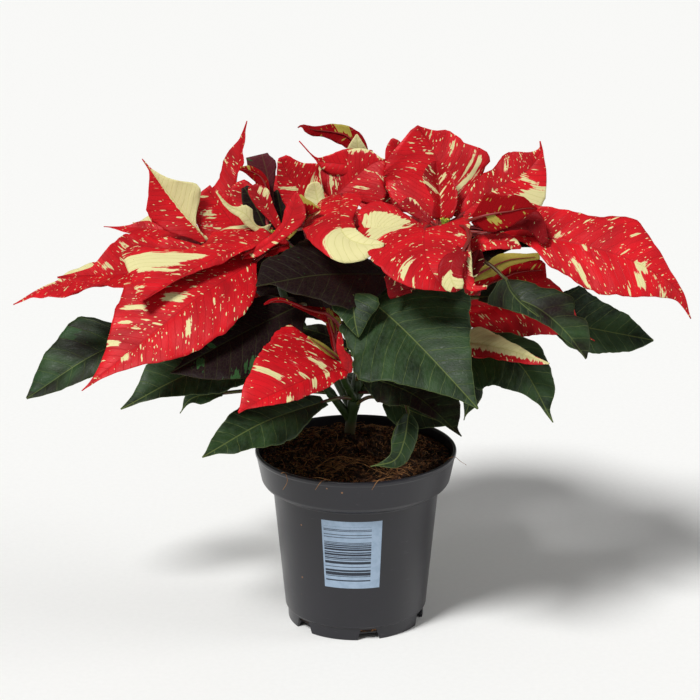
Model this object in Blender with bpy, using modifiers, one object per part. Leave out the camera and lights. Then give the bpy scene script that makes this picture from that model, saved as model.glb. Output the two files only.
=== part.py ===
"""A poinsettia with red and cream bracts, growing in a 13 cm grower's pot. Run it in Blender.

Lengths in the tables are millimetres and angles are degrees. +Z is up, the front is -Y, and the origin is
the middle of the pot's underside.
"""

import math
from typing import NamedTuple

import bmesh
import bpy
import numpy as np

MM = 0.001
CLEAR = 0.3

# Pot
RIM_RADIUS = 65.0
POT_HEIGHT = 116.0
COLLAR_FOOT_RADIUS = 61.0
COLLAR_DEPTH = 20.7
BODY_TOP_RADIUS = 53.7
BODY_FOOT_RADIUS = 46.1
FOOT_RING_RADIUS = 44.3
FOOT_RING_HEIGHT = 9.0
WALL = 1.3
RIM_WALL = 2.0
FLOOR_UNDER = 3.0
FLOOR_THICK = 1.4
CENTRE_PAD_RADIUS = 9.0
POT_SIDES = 36
NOTCHES = 6
NOTCH_TOP_WIDTH = 10.0
NOTCH_FOOT_WIDTH = 16.0
NOTCH_HEIGHT = 7.5
FIRST_NOTCH_ANGLE = -79.4

# Soil
SOIL_EDGE_HEIGHT = 110.0
MOUND_RISE = 10.0
MOUND_CENTRE = (0.0, 16.0)
MOUND_SPREAD = 34.0
LUMP_RISE = 1.3
SOIL_SIDES = 32
HOLE_ROOM = 0.5

# Stems and stalks
TRUNK_RADIUS = 3.7
SHOOT_RADIUS = 2.5
LEAF_STALK_RADIUS = 1.1
BRACT_STALK_RADIUS = 0.95
STALK_SUNK = 7.0
HUB_LENGTH = 7.0
HUB_RADIUS = 2.9

# Blades
BLADE_THICKNESS = 0.7
BLADE_END_WIDTH = 0.6
SPINE_STEPS = 33
LARGE_BLADE = 60.0
SMALL_BLADE = 36.0
WAVES = 1.6
WAVE_OFFSET = 1.3
STEM_STEP = 22.0
STRAIGHT_RUN = 2.5
FUSE_SOLVER = "EXACT"
SLIVER_STEPS = ((0.02, 0.6), (0.01, 0.3), (0.005, 0.1), (0.002, 0.02))

# Buds
BUDS = 4
BUD_LENGTH = 4.2
BUD_SPREAD = 1.6


class Blade(NamedTuple):
    """A leaf or a bract.

    path is its midrib from the stalk to the tip, face is the way its upper side looks, and each pair of
    numbers is for the right and left half, seen from above looking out to the tip. joint is how far up its
    shoot a leaf's stalk begins, from 0 to 1.
    """

    label: str
    path: tuple
    face: tuple
    width: tuple
    fold: float = 12.0
    curl: tuple = (-15.0, -15.0)
    widest: float = 0.38
    base: float = 0.7
    tip: float = 1.35
    wave: float = 2.0
    teeth: tuple = ()
    joint: float = 0.5
    branch: str = ""
    plain: bool = False


class Shoot(NamedTuple):
    """A branch: its path from the trunk to its head, and how much of it belongs to the main stem."""

    name: str
    path: tuple
    low_part: float


SHOOTS = {
    "centre": Shoot("centre", ((-4, 12, 101), (-4, 11, 122), (-1, 6, 146), (2, 5, 172), (3, 10, 205),
                               (-3, 20, 238), (-11, 27, 262)), 0.55),
    "left": Shoot("left", ((-4, 10, 132), (-12, 3, 146), (-24, -3, 166), (-38, -7, 198), (-48, -8, 230),
                           (-52, -8, 250)), 0.36),
    "right": Shoot("right", ((0, 6, 154), (12, 2, 178), (28, -5, 212), (43, -12, 243),
                             (51, -16, 262)), 0.36),
    "front": Shoot("front", ((-1, 6, 146), (-5, -10, 160), (-8, -25, 172), (-9, -34, 185)), 0.45),
    "low_right": Shoot("low_right", ((1, 6, 150), (20, 9, 168), (42, 6, 184), (54, 2, 192)), 0.40),
    "back": Shoot("back", ((1, 6, 156), (5, 28, 178), (6, 52, 204), (4, 68, 228)), 0.36),
    "low_back": Shoot("low_back", ((-3, 8, 140), (-18, 28, 162), (-34, 46, 182), (-44, 58, 196)), 0.36),
}

LEFT_BRACTS = (
    Blade("far left low", ((-97, -10, 251), (-147, -14, 240), (-188, -18, 231), (-214, -20, 218)),
          face=(0.1, -0.35, 0.93), width=(22, 26), fold=8, curl=(-10, -10),
          teeth=((-1, 0.72, 0.3, 0.07),), tip=1.6, widest=0.52),
    Blade("far left", ((-91, -16, 248), (-139, -32, 242), (-183, -42, 242)),
          face=(0, -0.5, 0.85), width=(31, 28), fold=20, curl=(0, 0), widest=0.5, tip=2.2),
    Blade("left flat", ((-87, 13, 252), (-124, 23, 255), (-161, 27, 256)),
          face=(0, -0.45, 0.9), width=(6, 21), fold=10, curl=(0, 0), tip=1.6),
    Blade("left cream tip", ((-117, 27, 251), (-131, 31, 256), (-143, 33, 257)),
          face=(0, -0.45, 0.9), width=(9, 5)),
    Blade("left half cream", ((-93, -6, 255), (-111, 0, 276), (-133, 2, 306)),
          face=(-0.2, -0.9, 0.45), width=(19, 20), fold=8, curl=(-10, -10), widest=0.45, base=0.9),
    Blade("left inner", ((-75, 2, 255), (-84, 8, 269), (-94, 10, 286)),
          face=(0, -0.9, 0.45), width=(12, 13)),
    Blade("left tall", ((-76, 10, 263), (-75, 18, 294), (-68, 20, 326)),
          face=(-0.6, -0.8, 0.1), width=(5, 15), fold=20, widest=0.42, tip=1.8),
    Blade("left pink", ((-60, 16, 260), (-67, 26, 274), (-74, 32, 287)),
          face=(0, -0.9, 0.45), width=(10, 12)),
    Blade("left front banded", ((-52, -21, 263), (-92, -53, 254), (-129, -81, 238)),
          face=(-0.1, -0.4, 0.9), width=(27, 6), fold=5, widest=0.3, base=0.5,
          teeth=((1, 0.82, 0.75, 0.09),)),
    Blade("left front large", ((-62, -33, 250), (-104, -71, 231), (-163, -105, 190)),
          face=(-0.2, -0.7, 0.7), width=(36, 31), fold=6),
    Blade("left across", ((-58, -20, 255), (-39, -34, 271), (-20, -36, 284)),
          face=(-0.3, -0.5, 0.8), width=(10, 23), fold=20, widest=0.5),
    Blade("left cream curl", ((-50, -11, 263), (-62, -19, 276), (-85, -23, 291)),
          face=(0.2, -0.7, 0.7), width=(8, 8)),
    Blade("left bud bract", ((-47, -8, 266), (-56, -12, 280), (-67, -14, 292)),
          face=(-0.3, -0.8, 0.5), width=(6, 7)),
)

CENTRE_BRACTS = (
    Blade("centre left", ((-21, 16, 278), (-35, 12, 288), (-48, 8, 307)),
          face=(-0.1, -0.9, 0.4), width=(16, 15)),
    Blade("centre back left", ((-7, 30, 278), (-19, 36, 292), (-36, 36, 310)),
          face=(0, -0.9, 0.4), width=(13, 18), tip=2),
    Blade("centre arched", ((8, 44, 292), (3, 48, 308), (-13, 46, 314), (-37, 40, 317)),
          face=(0, 0.7, 0.7), width=(9, 9), curl=(10, 10), base=0.4),
    Blade("centre right", ((-11, 26, 275), (3, 28, 286), (19, 32, 298)),
          face=(0, -0.85, 0.5), width=(14, 18)),
    Blade("centre front", ((-9, 4, 280), (-10, -34, 275), (1, -60, 269), (17, -70, 273)),
          face=(-0.1, -0.7, 0.7), width=(27, 14), curl=(-30, -20), widest=0.45, base=0.5),
)

RIGHT_BRACTS = (
    Blade("right front", ((42, -21, 268), (41, -56, 260), (53, -88, 252), (76, -98, 251)),
          face=(0, -0.45, 0.9), width=(43, 36), curl=(-10, 100), widest=0.3, base=0.3),
    Blade("right tall", ((53, -8, 273), (50, 6, 301), (41, 12, 324)),
          face=(0.05, -0.9, 0.4), width=(35, 30), widest=0.5,
          teeth=((1, 0.76, 0.35, 0.07), (-1, 0.78, 0.3, 0.07))),
    Blade("right beside tall", ((50, -14, 274), (32, -8, 289), (15, -4, 307)),
          face=(0, -0.85, 0.5), width=(15, 18)),
    Blade("right inner", ((46, -22, 275), (35, -18, 280), (24, -16, 283)),
          face=(0, -0.7, 0.7), width=(8, 10)),
    Blade("right raised", ((63, -1, 271), (90, 11, 286), (114, 17, 307), (115, 17, 314)),
          face=(0.1, -0.85, 0.5), width=(24, 18), widest=0.5,
          teeth=((-1, 0.7, 0.3, 0.07), (1, 0.7, 0.35, 0.08))),
    Blade("right turned up", ((70, -28, 272), (91, -38, 275), (116, -42, 266)),
          face=(0, 0.8, 0.5), width=(23, 6), widest=0.42),
    Blade("right small", ((70, -34, 268), (86, -46, 268), (100, -56, 265)),
          face=(0, -0.5, 0.8), width=(8, 9)),
    Blade("far right", ((89, -26, 265), (125, -36, 264), (164, -44, 255), (194, -48, 238),
                        (205, -50, 218)),
          face=(0.1, -0.8, 0.6), width=(27, 24), base=0.7, widest=0.5),
)

LOW_RIGHT_BRACTS = (
    Blade("low cream", ((53, -10, 193), (89, -40, 196), (118, -62, 193)),
          face=(0, -0.5, 0.85), width=(14, 20)),
    Blade("low long", ((63, 8, 209), (111, 6, 208), (152, 0, 188)),
          face=(0, -0.7, 0.7), width=(24, 28)),
    Blade("low cream turned up", ((68, -10, 231), (93, -16, 243), (116, -18, 249)),
          face=(0, 0.6, 0.8), width=(8, 12)),
    Blade("low red turned up", ((75, 4, 224), (104, 4, 234), (123, 4, 234)),
          face=(0, 0.8, 0.6), width=(14, 14)),
)

FRONT_BRACTS = (
    Blade("front low", ((-3, -62, 191), (-36, -92, 196), (-69, -116, 181)),
          face=(-0.1, -0.8, 0.6), width=(33, 14), widest=0.5),
    Blade("front low lobe", ((-4, -64, 188), (-6, -72, 204), (-11, -76, 217)),
          face=(0.2, -0.9, 0.4), width=(5, 6)),
    Blade("front low edge on", ((-12, -54, 200), (-21, -66, 230), (-55, -88, 239)),
          face=(0.1, 0.1, 1), width=(10, 10)),
)

MAIN_LEAVES = (
    Blade("pot left leaf", ((-20, -34, 159), (-57, -74, 159), (-92, -108, 149)),
          face=(-0.1, -0.65, 0.75), width=(22, 23), branch="centre", joint=0.28),
    Blade("under front leaf", ((6, -22, 172), (37, -56, 170), (64, -82, 153)),
          face=(0, -0.65, 0.75), width=(22, 23), branch="centre", joint=0.36),
    Blade("curled leaf on the rim", ((33, -36, 152), (30, -48, 138), (24, -56, 128), (9, -62, 126)),
          face=(0.3, -0.8, 0.4), width=(8, 8), branch="centre", joint=0.31),
    Blade("pot right leaf", ((18, -14, 154), (44, -26, 146), (64, -34, 143)),
          face=(0, -0.6, 0.8), width=(14, 18), branch="centre", joint=0.25),
    Blade("left small leaf", ((-84, -5, 155), (-104, -10, 153), (-112, -14, 144)),
          face=(0, -0.6, 0.8), width=(6, 6), branch="left", joint=0.2),
    Blade("short right leaf", ((54, 0, 163), (73, -6, 158), (69, -10, 138)),
          face=(0, -0.7, 0.7), width=(9, 9), branch="low_right", joint=0.34),
)

LEFT_LEAVES = (
    Blade("far left leaf", ((-106, 6, 201), (-163, 0, 181), (-210, -8, 152)),
          face=(-0.1, -0.7, 0.7), width=(24, 21), teeth=((1, 0.62, 0.18, 0.08),), widest=0.48, joint=0.6),
    Blade("left low leaf", ((-54, -16, 188), (-103, -38, 179), (-145, -58, 162)),
          face=(-0.1, -0.7, 0.7), width=(26, 20), joint=0.45),
    Blade("left maroon leaf", ((-35, -34, 222), (-71, -64, 212), (-111, -92, 197)),
          face=(-0.1, -0.7, 0.7), width=(25, 34), joint=0.62),
    Blade("left maroon", ((-50, 14, 272), (-55, 22, 292), (-69, 18, 306)),
          face=(-0.2, -0.8, 0.5), width=(14, 8), joint=0.9),
)

RIGHT_LEAVES = (
    Blade("middle maroon leaf", ((22, -28, 240), (-22, -54, 247), (-60, -72, 245)),
          face=(0, -0.5, 0.85), width=(37, 31), teeth=((1, 0.85, 0.35, 0.1),), joint=0.65),
    Blade("large front leaf", ((13, -50, 231), (39, -92, 214), (72, -122, 183)),
          face=(0, -0.75, 0.65), width=(36, 36), joint=0.55),
    Blade("right folded leaf", ((74, -22, 227), (107, -46, 229), (139, -70, 199)),
          face=(0, -0.7, 0.7), width=(17, 21), joint=0.6),
)

CENTRE_LEAVES = (
    Blade("middle hanging leaf", ((-3, -26, 225), (0, -44, 219), (2, -54, 207)),
          face=(0, -0.7, 0.7), width=(17, 17), joint=0.64),
)

LOW_RIGHT_LEAVES = (
    Blade("right low leaf", ((63, -12, 186), (99, -34, 186), (122, -54, 152)),
          face=(0, -0.7, 0.7), width=(24, 25), joint=0.75),
    Blade("far right leaf", ((120, 12, 199), (155, 8, 193), (190, 4, 187)),
          face=(0, -0.7, 0.7), width=(20, 25), joint=0.9),
)

def outward(label, start, azimuth, reach, rise, drop, width, **more):
    """A blade that leaves its head or stem at a compass angle, rises, and arches down to its tip."""
    turn = math.radians(azimuth)
    path = []
    for share in (0.22, 0.6, 1.0):
        out = reach * share
        height = out * math.tan(math.radians(rise)) - drop * share ** 3
        path.append((start[0] + out * math.cos(turn), start[1] + out * math.sin(turn), start[2] + height))
    face = (-0.25 * math.cos(turn), -0.25 * math.sin(turn), 1.0)
    return Blade(label, tuple(path), face, (width, width), plain=True, **more)


LEFT_HUB = (-52, -8, 252)
CENTRE_HUB = (-11, 28, 264)
RIGHT_HUB = (51, -16, 264)
BACK_HUB = (4, 70, 232)
LOW_BACK_HUB = (-46, 61, 199)

LEFT_BACK_BRACTS = (
    outward("left behind", LEFT_HUB, 126, 108, 3, 38, 25),
    outward("left behind high", LEFT_HUB, 96, 88, 12, 30, 22),
)
CENTRE_BACK_BRACTS = (
    outward("centre behind left", CENTRE_HUB, 148, 84, 22, 34, 22),
    outward("centre behind", CENTRE_HUB, 108, 96, 8, 34, 24),
    outward("centre behind right", CENTRE_HUB, 68, 92, 18, 34, 23),
)
RIGHT_BACK_BRACTS = (
    outward("right behind left", RIGHT_HUB, 92, 82, 20, 30, 21),
    outward("right behind", RIGHT_HUB, 58, 108, 10, 38, 25),
    outward("right behind low", RIGHT_HUB, 26, 116, 2, 40, 25),
)
BACK_BRACTS = tuple(
    outward(f"back {number}", BACK_HUB, azimuth, reach, rise, 40, width)
    for number, (azimuth, reach, rise, width) in enumerate(
        ((20, 92, 17, 22), (52, 104, 5, 24), (84, 88, 19, 21), (116, 102, 6, 24), (150, 90, 18, 22)), 1)
)
LOW_BACK_BRACTS = tuple(
    outward(f"low back {number}", LOW_BACK_HUB, azimuth, reach, rise, 30, width)
    for number, (azimuth, reach, rise, width) in enumerate(
        ((172, 84, 0, 20), (138, 92, 11, 22), (104, 80, -3, 20)), 1)
)

BACK_LEAVES = (
    outward("back leaf right", (5, 56, 204), 28, 118, 0, 34, 25, joint=0.62),
    outward("back leaf middle", (5, 60, 208), 76, 112, -10, 32, 26, joint=0.74),
    outward("back leaf left", (5, 56, 200), 128, 106, -6, 30, 25, joint=0.55),
)
LOW_BACK_LEAVES = (
    outward("low back leaf left", (-34, 46, 182), 160, 112, -6, 30, 25, joint=0.6),
    outward("low back leaf middle", (-38, 52, 186), 112, 96, -10, 26, 23, joint=0.8),
)
MAIN_BACK_LEAVES = (
    outward("main back leaf right", (1, 6, 150), 48, 118, -2, 28, 24, branch="centre", joint=0.30),
    outward("main back leaf left", (0, 6, 147), 84, 112, 0, 30, 23, branch="centre", joint=0.27),
)

HEADS = (
    ("left", LEFT_LEAVES, LEFT_BRACTS + LEFT_BACK_BRACTS),
    ("centre", CENTRE_LEAVES, CENTRE_BRACTS + CENTRE_BACK_BRACTS),
    ("right", RIGHT_LEAVES, RIGHT_BRACTS + RIGHT_BACK_BRACTS),
    ("low_right", LOW_RIGHT_LEAVES, LOW_RIGHT_BRACTS),
    ("front", (), FRONT_BRACTS),
    ("back", BACK_LEAVES, BACK_BRACTS),
    ("low_back", LOW_BACK_LEAVES, LOW_BACK_BRACTS),
)


def smooth_path(points, count):
    """A smooth curve through the points, as evenly spaced samples."""
    knots = np.asarray(points, float)
    ends = np.vstack([2 * knots[0] - knots[1], knots, 2 * knots[-1] - knots[-2]])
    step = np.linspace(0, 1, 16, endpoint=False)[:, None]
    pieces = []
    for a, b, c, d in zip(ends, ends[1:], ends[2:], ends[3:]):
        pieces.append(0.5 * (2 * b + (c - a) * step + (2 * a - 5 * b + 4 * c - d) * step ** 2
                             + (3 * b - a - 3 * c + d) * step ** 3))
    dense = np.vstack(pieces + [knots[-1:]])
    run = np.r_[0, np.cumsum(np.linalg.norm(np.diff(dense, axis=0), axis=1))]
    wanted = np.linspace(0, run[-1], count)
    return np.stack([np.interp(wanted, run, dense[:, axis]) for axis in range(3)], axis=1)


def unit(vectors):
    return vectors / np.linalg.norm(vectors, axis=-1, keepdims=True)


def path_length(points):
    return float(np.linalg.norm(np.diff(smooth_path(points, SPINE_STEPS), axis=0), axis=1).sum())


def spine_frames(spine, face):
    """The direction, the upper side's normal and the rightward direction at each sample of a midrib."""
    tangent = unit(np.gradient(spine, axis=0))
    normal = np.zeros_like(spine)
    middle = len(spine) // 2
    facing = np.asarray(face, float)
    normal[middle] = unit(facing - (facing @ tangent[middle]) * tangent[middle])
    for order, back in ((range(middle + 1, len(spine)), -1), (range(middle - 1, -1, -1), 1)):
        for i in order:
            carried = normal[i + back]
            normal[i] = unit(carried - (carried @ tangent[i]) * tangent[i])
    return tangent, normal, np.cross(tangent, normal)


def half_width(blade, along, side):
    """The share of the full half width at each point along the blade, with its teeth."""
    swell = np.sin(np.pi * np.clip(along, 0, 1) ** (math.log(0.5) / math.log(blade.widest)))
    towards_tip = np.clip((along - blade.widest) / (1 - blade.widest), 0, 1)
    share = np.clip(swell, 0, 1) ** (blade.base + (blade.tip - blade.base) * towards_tip)
    for tooth_side, place, height, spread in blade.teeth:
        if tooth_side == side:
            share = share + height * np.exp(-((along - place) / spread) ** 2) * np.minimum(1, 2 * share)
    return share


def lamina(blade, across, along):
    """Points of the blade's surface: across runs from -1 at the left edge to 1 at the right."""
    spine = smooth_path(blade.path, SPINE_STEPS)
    frames = spine_frames(spine, blade.face)
    stations = np.linspace(0, 1, SPINE_STEPS)
    centre, _, normal, right = (
        np.stack([np.interp(along, stations, values[:, axis]) for axis in range(3)], axis=1)
        for values in (spine, *frames))
    points = np.empty_like(centre)
    for side, width, curl in ((1, blade.width[0], blade.curl[0]), (-1, blade.width[1], blade.curl[1])):
        mine = across >= 0 if side > 0 else across < 0
        share = half_width(blade, along[mine], side)
        reach = np.maximum(width * share, BLADE_END_WIDTH)
        out = np.abs(across[mine])
        start = math.radians(blade.fold)
        bend = math.radians(curl) if abs(curl) > 0.1 else 0.002
        sideways = reach / bend * (np.sin(start + bend * out) - math.sin(start))
        lift = reach / bend * (math.cos(start) - np.cos(start + bend * out))
        phase = 2 * np.pi * WAVES * along[mine] + (WAVE_OFFSET if side > 0 else 0)
        lift = lift + blade.wave * out ** 2 * np.sin(phase) * np.minimum(1, 1.5 * share)
        points[mine] = (centre[mine] + side * sideways[:, None] * unit(right[mine])
                        + lift[:, None] * unit(normal[mine]))
    return points


def material(name, colour, roughness, metallic=0.0):
    """A Principled material from an sRGB hex colour."""
    made = bpy.data.materials.new(name)
    made.use_nodes = True
    shader = made.node_tree.nodes["Principled BSDF"]
    levels = [int(colour[i:i + 2], 16) / 255 for i in (0, 2, 4)]
    linear = [v / 12.92 if v <= 0.04045 else ((v + 0.055) / 1.055) ** 2.4 for v in levels]
    shader.inputs["Base Color"].default_value = (*linear, 1)
    shader.inputs["Roughness"].default_value = roughness
    shader.inputs["Metallic"].default_value = metallic
    return made


def new_object(name, mesh, collection):
    made = bpy.data.objects.new(name, mesh)
    collection.objects.link(made)
    return made


def settled(obj):
    """Gives the object its evaluated mesh in place of its modifiers."""
    bpy.context.view_layer.update()
    mesh = bpy.data.meshes.new_from_object(obj.evaluated_get(bpy.context.evaluated_depsgraph_get()))
    obj.modifiers.clear()
    obj.data = mesh
    return obj


def tube(name, points, radii, collection, sides_step=0):
    """A round bar along the points, closed at both ends."""
    curve = bpy.data.curves.new(name, "CURVE")
    curve.dimensions = "3D"
    curve.bevel_depth = MM
    curve.bevel_resolution = sides_step
    curve.use_fill_caps = True
    spline = curve.splines.new("POLY")
    spline.points.add(len(points) - 1)
    for knot, place, radius in zip(spline.points, points, radii):
        knot.co = (*(float(v) * MM for v in place), 1)
        knot.radius = radius
    guide = new_object(name + "_guide", curve, collection)
    bpy.context.view_layer.update()
    mesh = bpy.data.meshes.new_from_object(guide.evaluated_get(bpy.context.evaluated_depsgraph_get()))
    bpy.data.objects.remove(guide)
    shape = bmesh.new()
    shape.from_mesh(mesh)
    bmesh.ops.remove_doubles(shape, verts=shape.verts, dist=1e-6)
    bmesh.ops.recalc_face_normals(shape, faces=shape.faces)
    shape.to_mesh(mesh)
    shape.free()
    return new_object(name, mesh, collection)


def blade_grid(blade):
    """How many faces a blade gets along and across."""
    length = path_length(blade.path)
    if blade.plain:
        return 6, 2
    if length > LARGE_BLADE:
        return 6, 4
    if length > SMALL_BLADE:
        return 5, 4
    return 4, 2


def blade_solid(blade, collection):
    """A blade as one thin closed solid."""
    along_steps, across_steps = blade_grid(blade)
    shape = bmesh.new()
    bmesh.ops.create_grid(shape, x_segments=across_steps, y_segments=along_steps, size=1.0)
    flat = np.array([vert.co for vert in shape.verts])
    curved = lamina(blade, flat[:, 0], (flat[:, 1] + 1) / 2) * MM
    for vert, place in zip(shape.verts, curved):
        vert.co = place
    bmesh.ops.triangulate(shape, faces=shape.faces)
    mesh = bpy.data.meshes.new(blade.label)
    shape.to_mesh(mesh)
    shape.free()
    made = new_object(blade.label, mesh, collection)
    wall = made.modifiers.new("thickness", "SOLIDIFY")
    wall.thickness = BLADE_THICKNESS * MM
    wall.offset = 0
    return settled(made)


def stalk(blade, start, radius, collection):
    """The stalk from a stem's middle to the blade, sunk well into the midrib."""
    spine = smooth_path(blade.path, SPINE_STEPS)
    length = path_length(blade.path)
    sunk = min(STALK_SUNK, 0.3 * length)
    inner = spine[max(1, round(sunk / length * (SPINE_STEPS - 1)))]
    heading = unit(spine[1] - spine[0])
    gap = np.linalg.norm(spine[0] - start)
    lead = spine[0] - heading * 0.35 * gap
    middle = 0.5 * (0.5 * (np.asarray(start) + spine[0]) + lead)
    points = (start, middle, spine[0], inner)
    return tube(blade.label + " stalk", points, (radius, radius, radius, 0.7 * radius), collection)


def tidied(body):
    """Merges the slivers that a union leaves and drops loose scraps, as far as the surface stays closed."""
    for sliver, angle in SLIVER_STEPS:
        shape = bmesh.new()
        shape.from_mesh(body.data)
        bmesh.ops.remove_doubles(shape, verts=shape.verts, dist=sliver * MM)
        bmesh.ops.dissolve_degenerate(shape, edges=shape.edges, dist=sliver * MM)
        bmesh.ops.dissolve_limit(shape, angle_limit=math.radians(angle), verts=shape.verts,
                                 edges=shape.edges)
        bmesh.ops.triangulate(shape, faces=shape.faces)
        kept = largest_island(shape)
        bmesh.ops.delete(shape, geom=[face for face in shape.faces if face not in kept], context="FACES")
        closed = all(len(edge.link_faces) == 2 for edge in shape.edges)
        if closed:
            shape.to_mesh(body.data)
        shape.free()
        if closed:
            return


def largest_island(shape):
    """The faces of the largest connected piece."""
    islands = []
    unseen = set(shape.faces)
    while unseen:
        island = set()
        reached = [unseen.pop()]
        while reached:
            face = reached.pop()
            island.add(face)
            for edge in face.edges:
                for other in edge.link_faces:
                    if other in unseen:
                        unseen.remove(other)
                        reached.append(other)
        islands.append(island)
    return max(islands, key=len)


def fused(name, pieces, holder, plant, finish):
    """One node from many pieces, by one union on their collection."""
    body = pieces[0]
    for piece in pieces:
        holder.objects.unlink(piece)
    plant.objects.link(body)
    body.name = name
    helpers = bpy.data.collections.new(name + " pieces")
    bpy.context.scene.collection.children.link(helpers)
    for piece in pieces[1:]:
        helpers.objects.link(piece)
    union = body.modifiers.new("fuse", "BOOLEAN")
    union.operation = "UNION"
    union.operand_type = "COLLECTION"
    union.collection = helpers
    union.solver = FUSE_SOLVER
    settled(body)
    for piece in list(helpers.objects):
        bpy.data.objects.remove(piece)
    bpy.data.collections.remove(helpers)
    tidied(body)
    body.data.materials.clear()
    body.data.materials.append(finish)
    return body


def pot(plant, cutters, finish):
    """The moulded pot: a turned shell with notches cut through its foot ring."""
    inner_collar = COLLAR_FOOT_RADIUS - WALL
    step = POT_HEIGHT - COLLAR_DEPTH
    profile = (
        (0, FLOOR_UNDER + FLOOR_THICK), (BODY_FOOT_RADIUS - 3.4, FLOOR_UNDER + FLOOR_THICK),
        (BODY_FOOT_RADIUS - WALL, FOOT_RING_HEIGHT + 2), (BODY_TOP_RADIUS - WALL, step - 4.5),
        (BODY_TOP_RADIUS + 0.2, step - 2.0), (inner_collar - 1.2, step + 0.4), (inner_collar, step + 2.6),
        (RIM_RADIUS - RIM_WALL - 0.4, POT_HEIGHT - 1.0), (RIM_RADIUS - RIM_WALL, POT_HEIGHT),
        (RIM_RADIUS - 0.5, POT_HEIGHT), (RIM_RADIUS, POT_HEIGHT - 0.7), (RIM_RADIUS, POT_HEIGHT - 2.4),
        (RIM_RADIUS - 0.7, POT_HEIGHT - 3.2), (COLLAR_FOOT_RADIUS, step + 1.2),
        (COLLAR_FOOT_RADIUS - 1.4, step - 1.0), (BODY_TOP_RADIUS + 1.6, step - 2.9),
        (BODY_TOP_RADIUS, step - 4.6), (BODY_FOOT_RADIUS, FOOT_RING_HEIGHT + 0.5),
        (FOOT_RING_RADIUS + 0.3, FOOT_RING_HEIGHT - 0.5), (FOOT_RING_RADIUS, 0.4),
        (FOOT_RING_RADIUS - 0.4, 0), (FOOT_RING_RADIUS - 1.8, 0), (FOOT_RING_RADIUS - 2.2, FLOOR_UNDER),
        (CENTRE_PAD_RADIUS, FLOOR_UNDER), (CENTRE_PAD_RADIUS, 0), (0, 0))
    shape = bmesh.new()
    knots = [shape.verts.new((radius * MM, 0, height * MM)) for radius, height in profile]
    for first, second in zip(knots, knots[1:]):
        shape.edges.new((first, second))
    mesh = bpy.data.meshes.new("pot")
    shape.to_mesh(mesh)
    shape.free()
    made = new_object("pot", mesh, plant)
    turn = made.modifiers.new("turn", "SCREW")
    turn.steps = turn.render_steps = POT_SIDES
    turn.use_merge_vertices = True
    turn.merge_threshold = 1e-5
    for number in range(NOTCHES):
        cutter = notch_cutter(number, cutters)
        cut = made.modifiers.new(f"notch {number}", "BOOLEAN")
        cut.operation = "DIFFERENCE"
        cut.object = cutter
    made.data.materials.append(finish)
    made.data.shade_smooth()
    return made


def notch_cutter(number, cutters):
    """A tapered block that cuts one drainage notch."""
    depth = 9.0
    shape = bmesh.new()
    bmesh.ops.create_cube(shape, size=1.0)
    for vert in shape.verts:
        width = NOTCH_TOP_WIDTH if vert.co.z > 0 else NOTCH_FOOT_WIDTH
        vert.co.x *= depth * MM
        vert.co.y *= width * MM
        vert.co.z = NOTCH_HEIGHT * MM if vert.co.z > 0 else -2 * MM
    mesh = bpy.data.meshes.new(f"notch_cutter_{number}")
    shape.to_mesh(mesh)
    shape.free()
    cutter = new_object(f"notch_cutter_{number}", mesh, cutters)
    angle = math.radians(FIRST_NOTCH_ANGLE + number * 360 / NOTCHES)
    place = (FOOT_RING_RADIUS + 0.5) * MM
    cutter.location = (place * math.cos(angle), place * math.sin(angle), 0)
    cutter.rotation_euler.z = angle
    cutter.hide_render = True
    cutter.display_type = "WIRE"
    return cutter


def soil_height(x, y):
    """The height of the soil's surface in mm: a mound behind the stem, with lumps."""
    from_mound = math.hypot(x - MOUND_CENTRE[0], y - MOUND_CENTRE[1])
    mound = MOUND_RISE * math.exp(-(from_mound / MOUND_SPREAD) ** 2)
    lumps = LUMP_RISE * (math.sin(0.31 * x + 1.1) * math.cos(0.27 * y) + 0.6 * math.sin(0.17 * (x + y) + 2))
    edge = max(0.0, 1 - (math.hypot(x, y) / (RIM_RADIUS - RIM_WALL - 1)) ** 4)
    return SOIL_EDGE_HEIGHT + (mound + lumps) * edge


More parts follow.
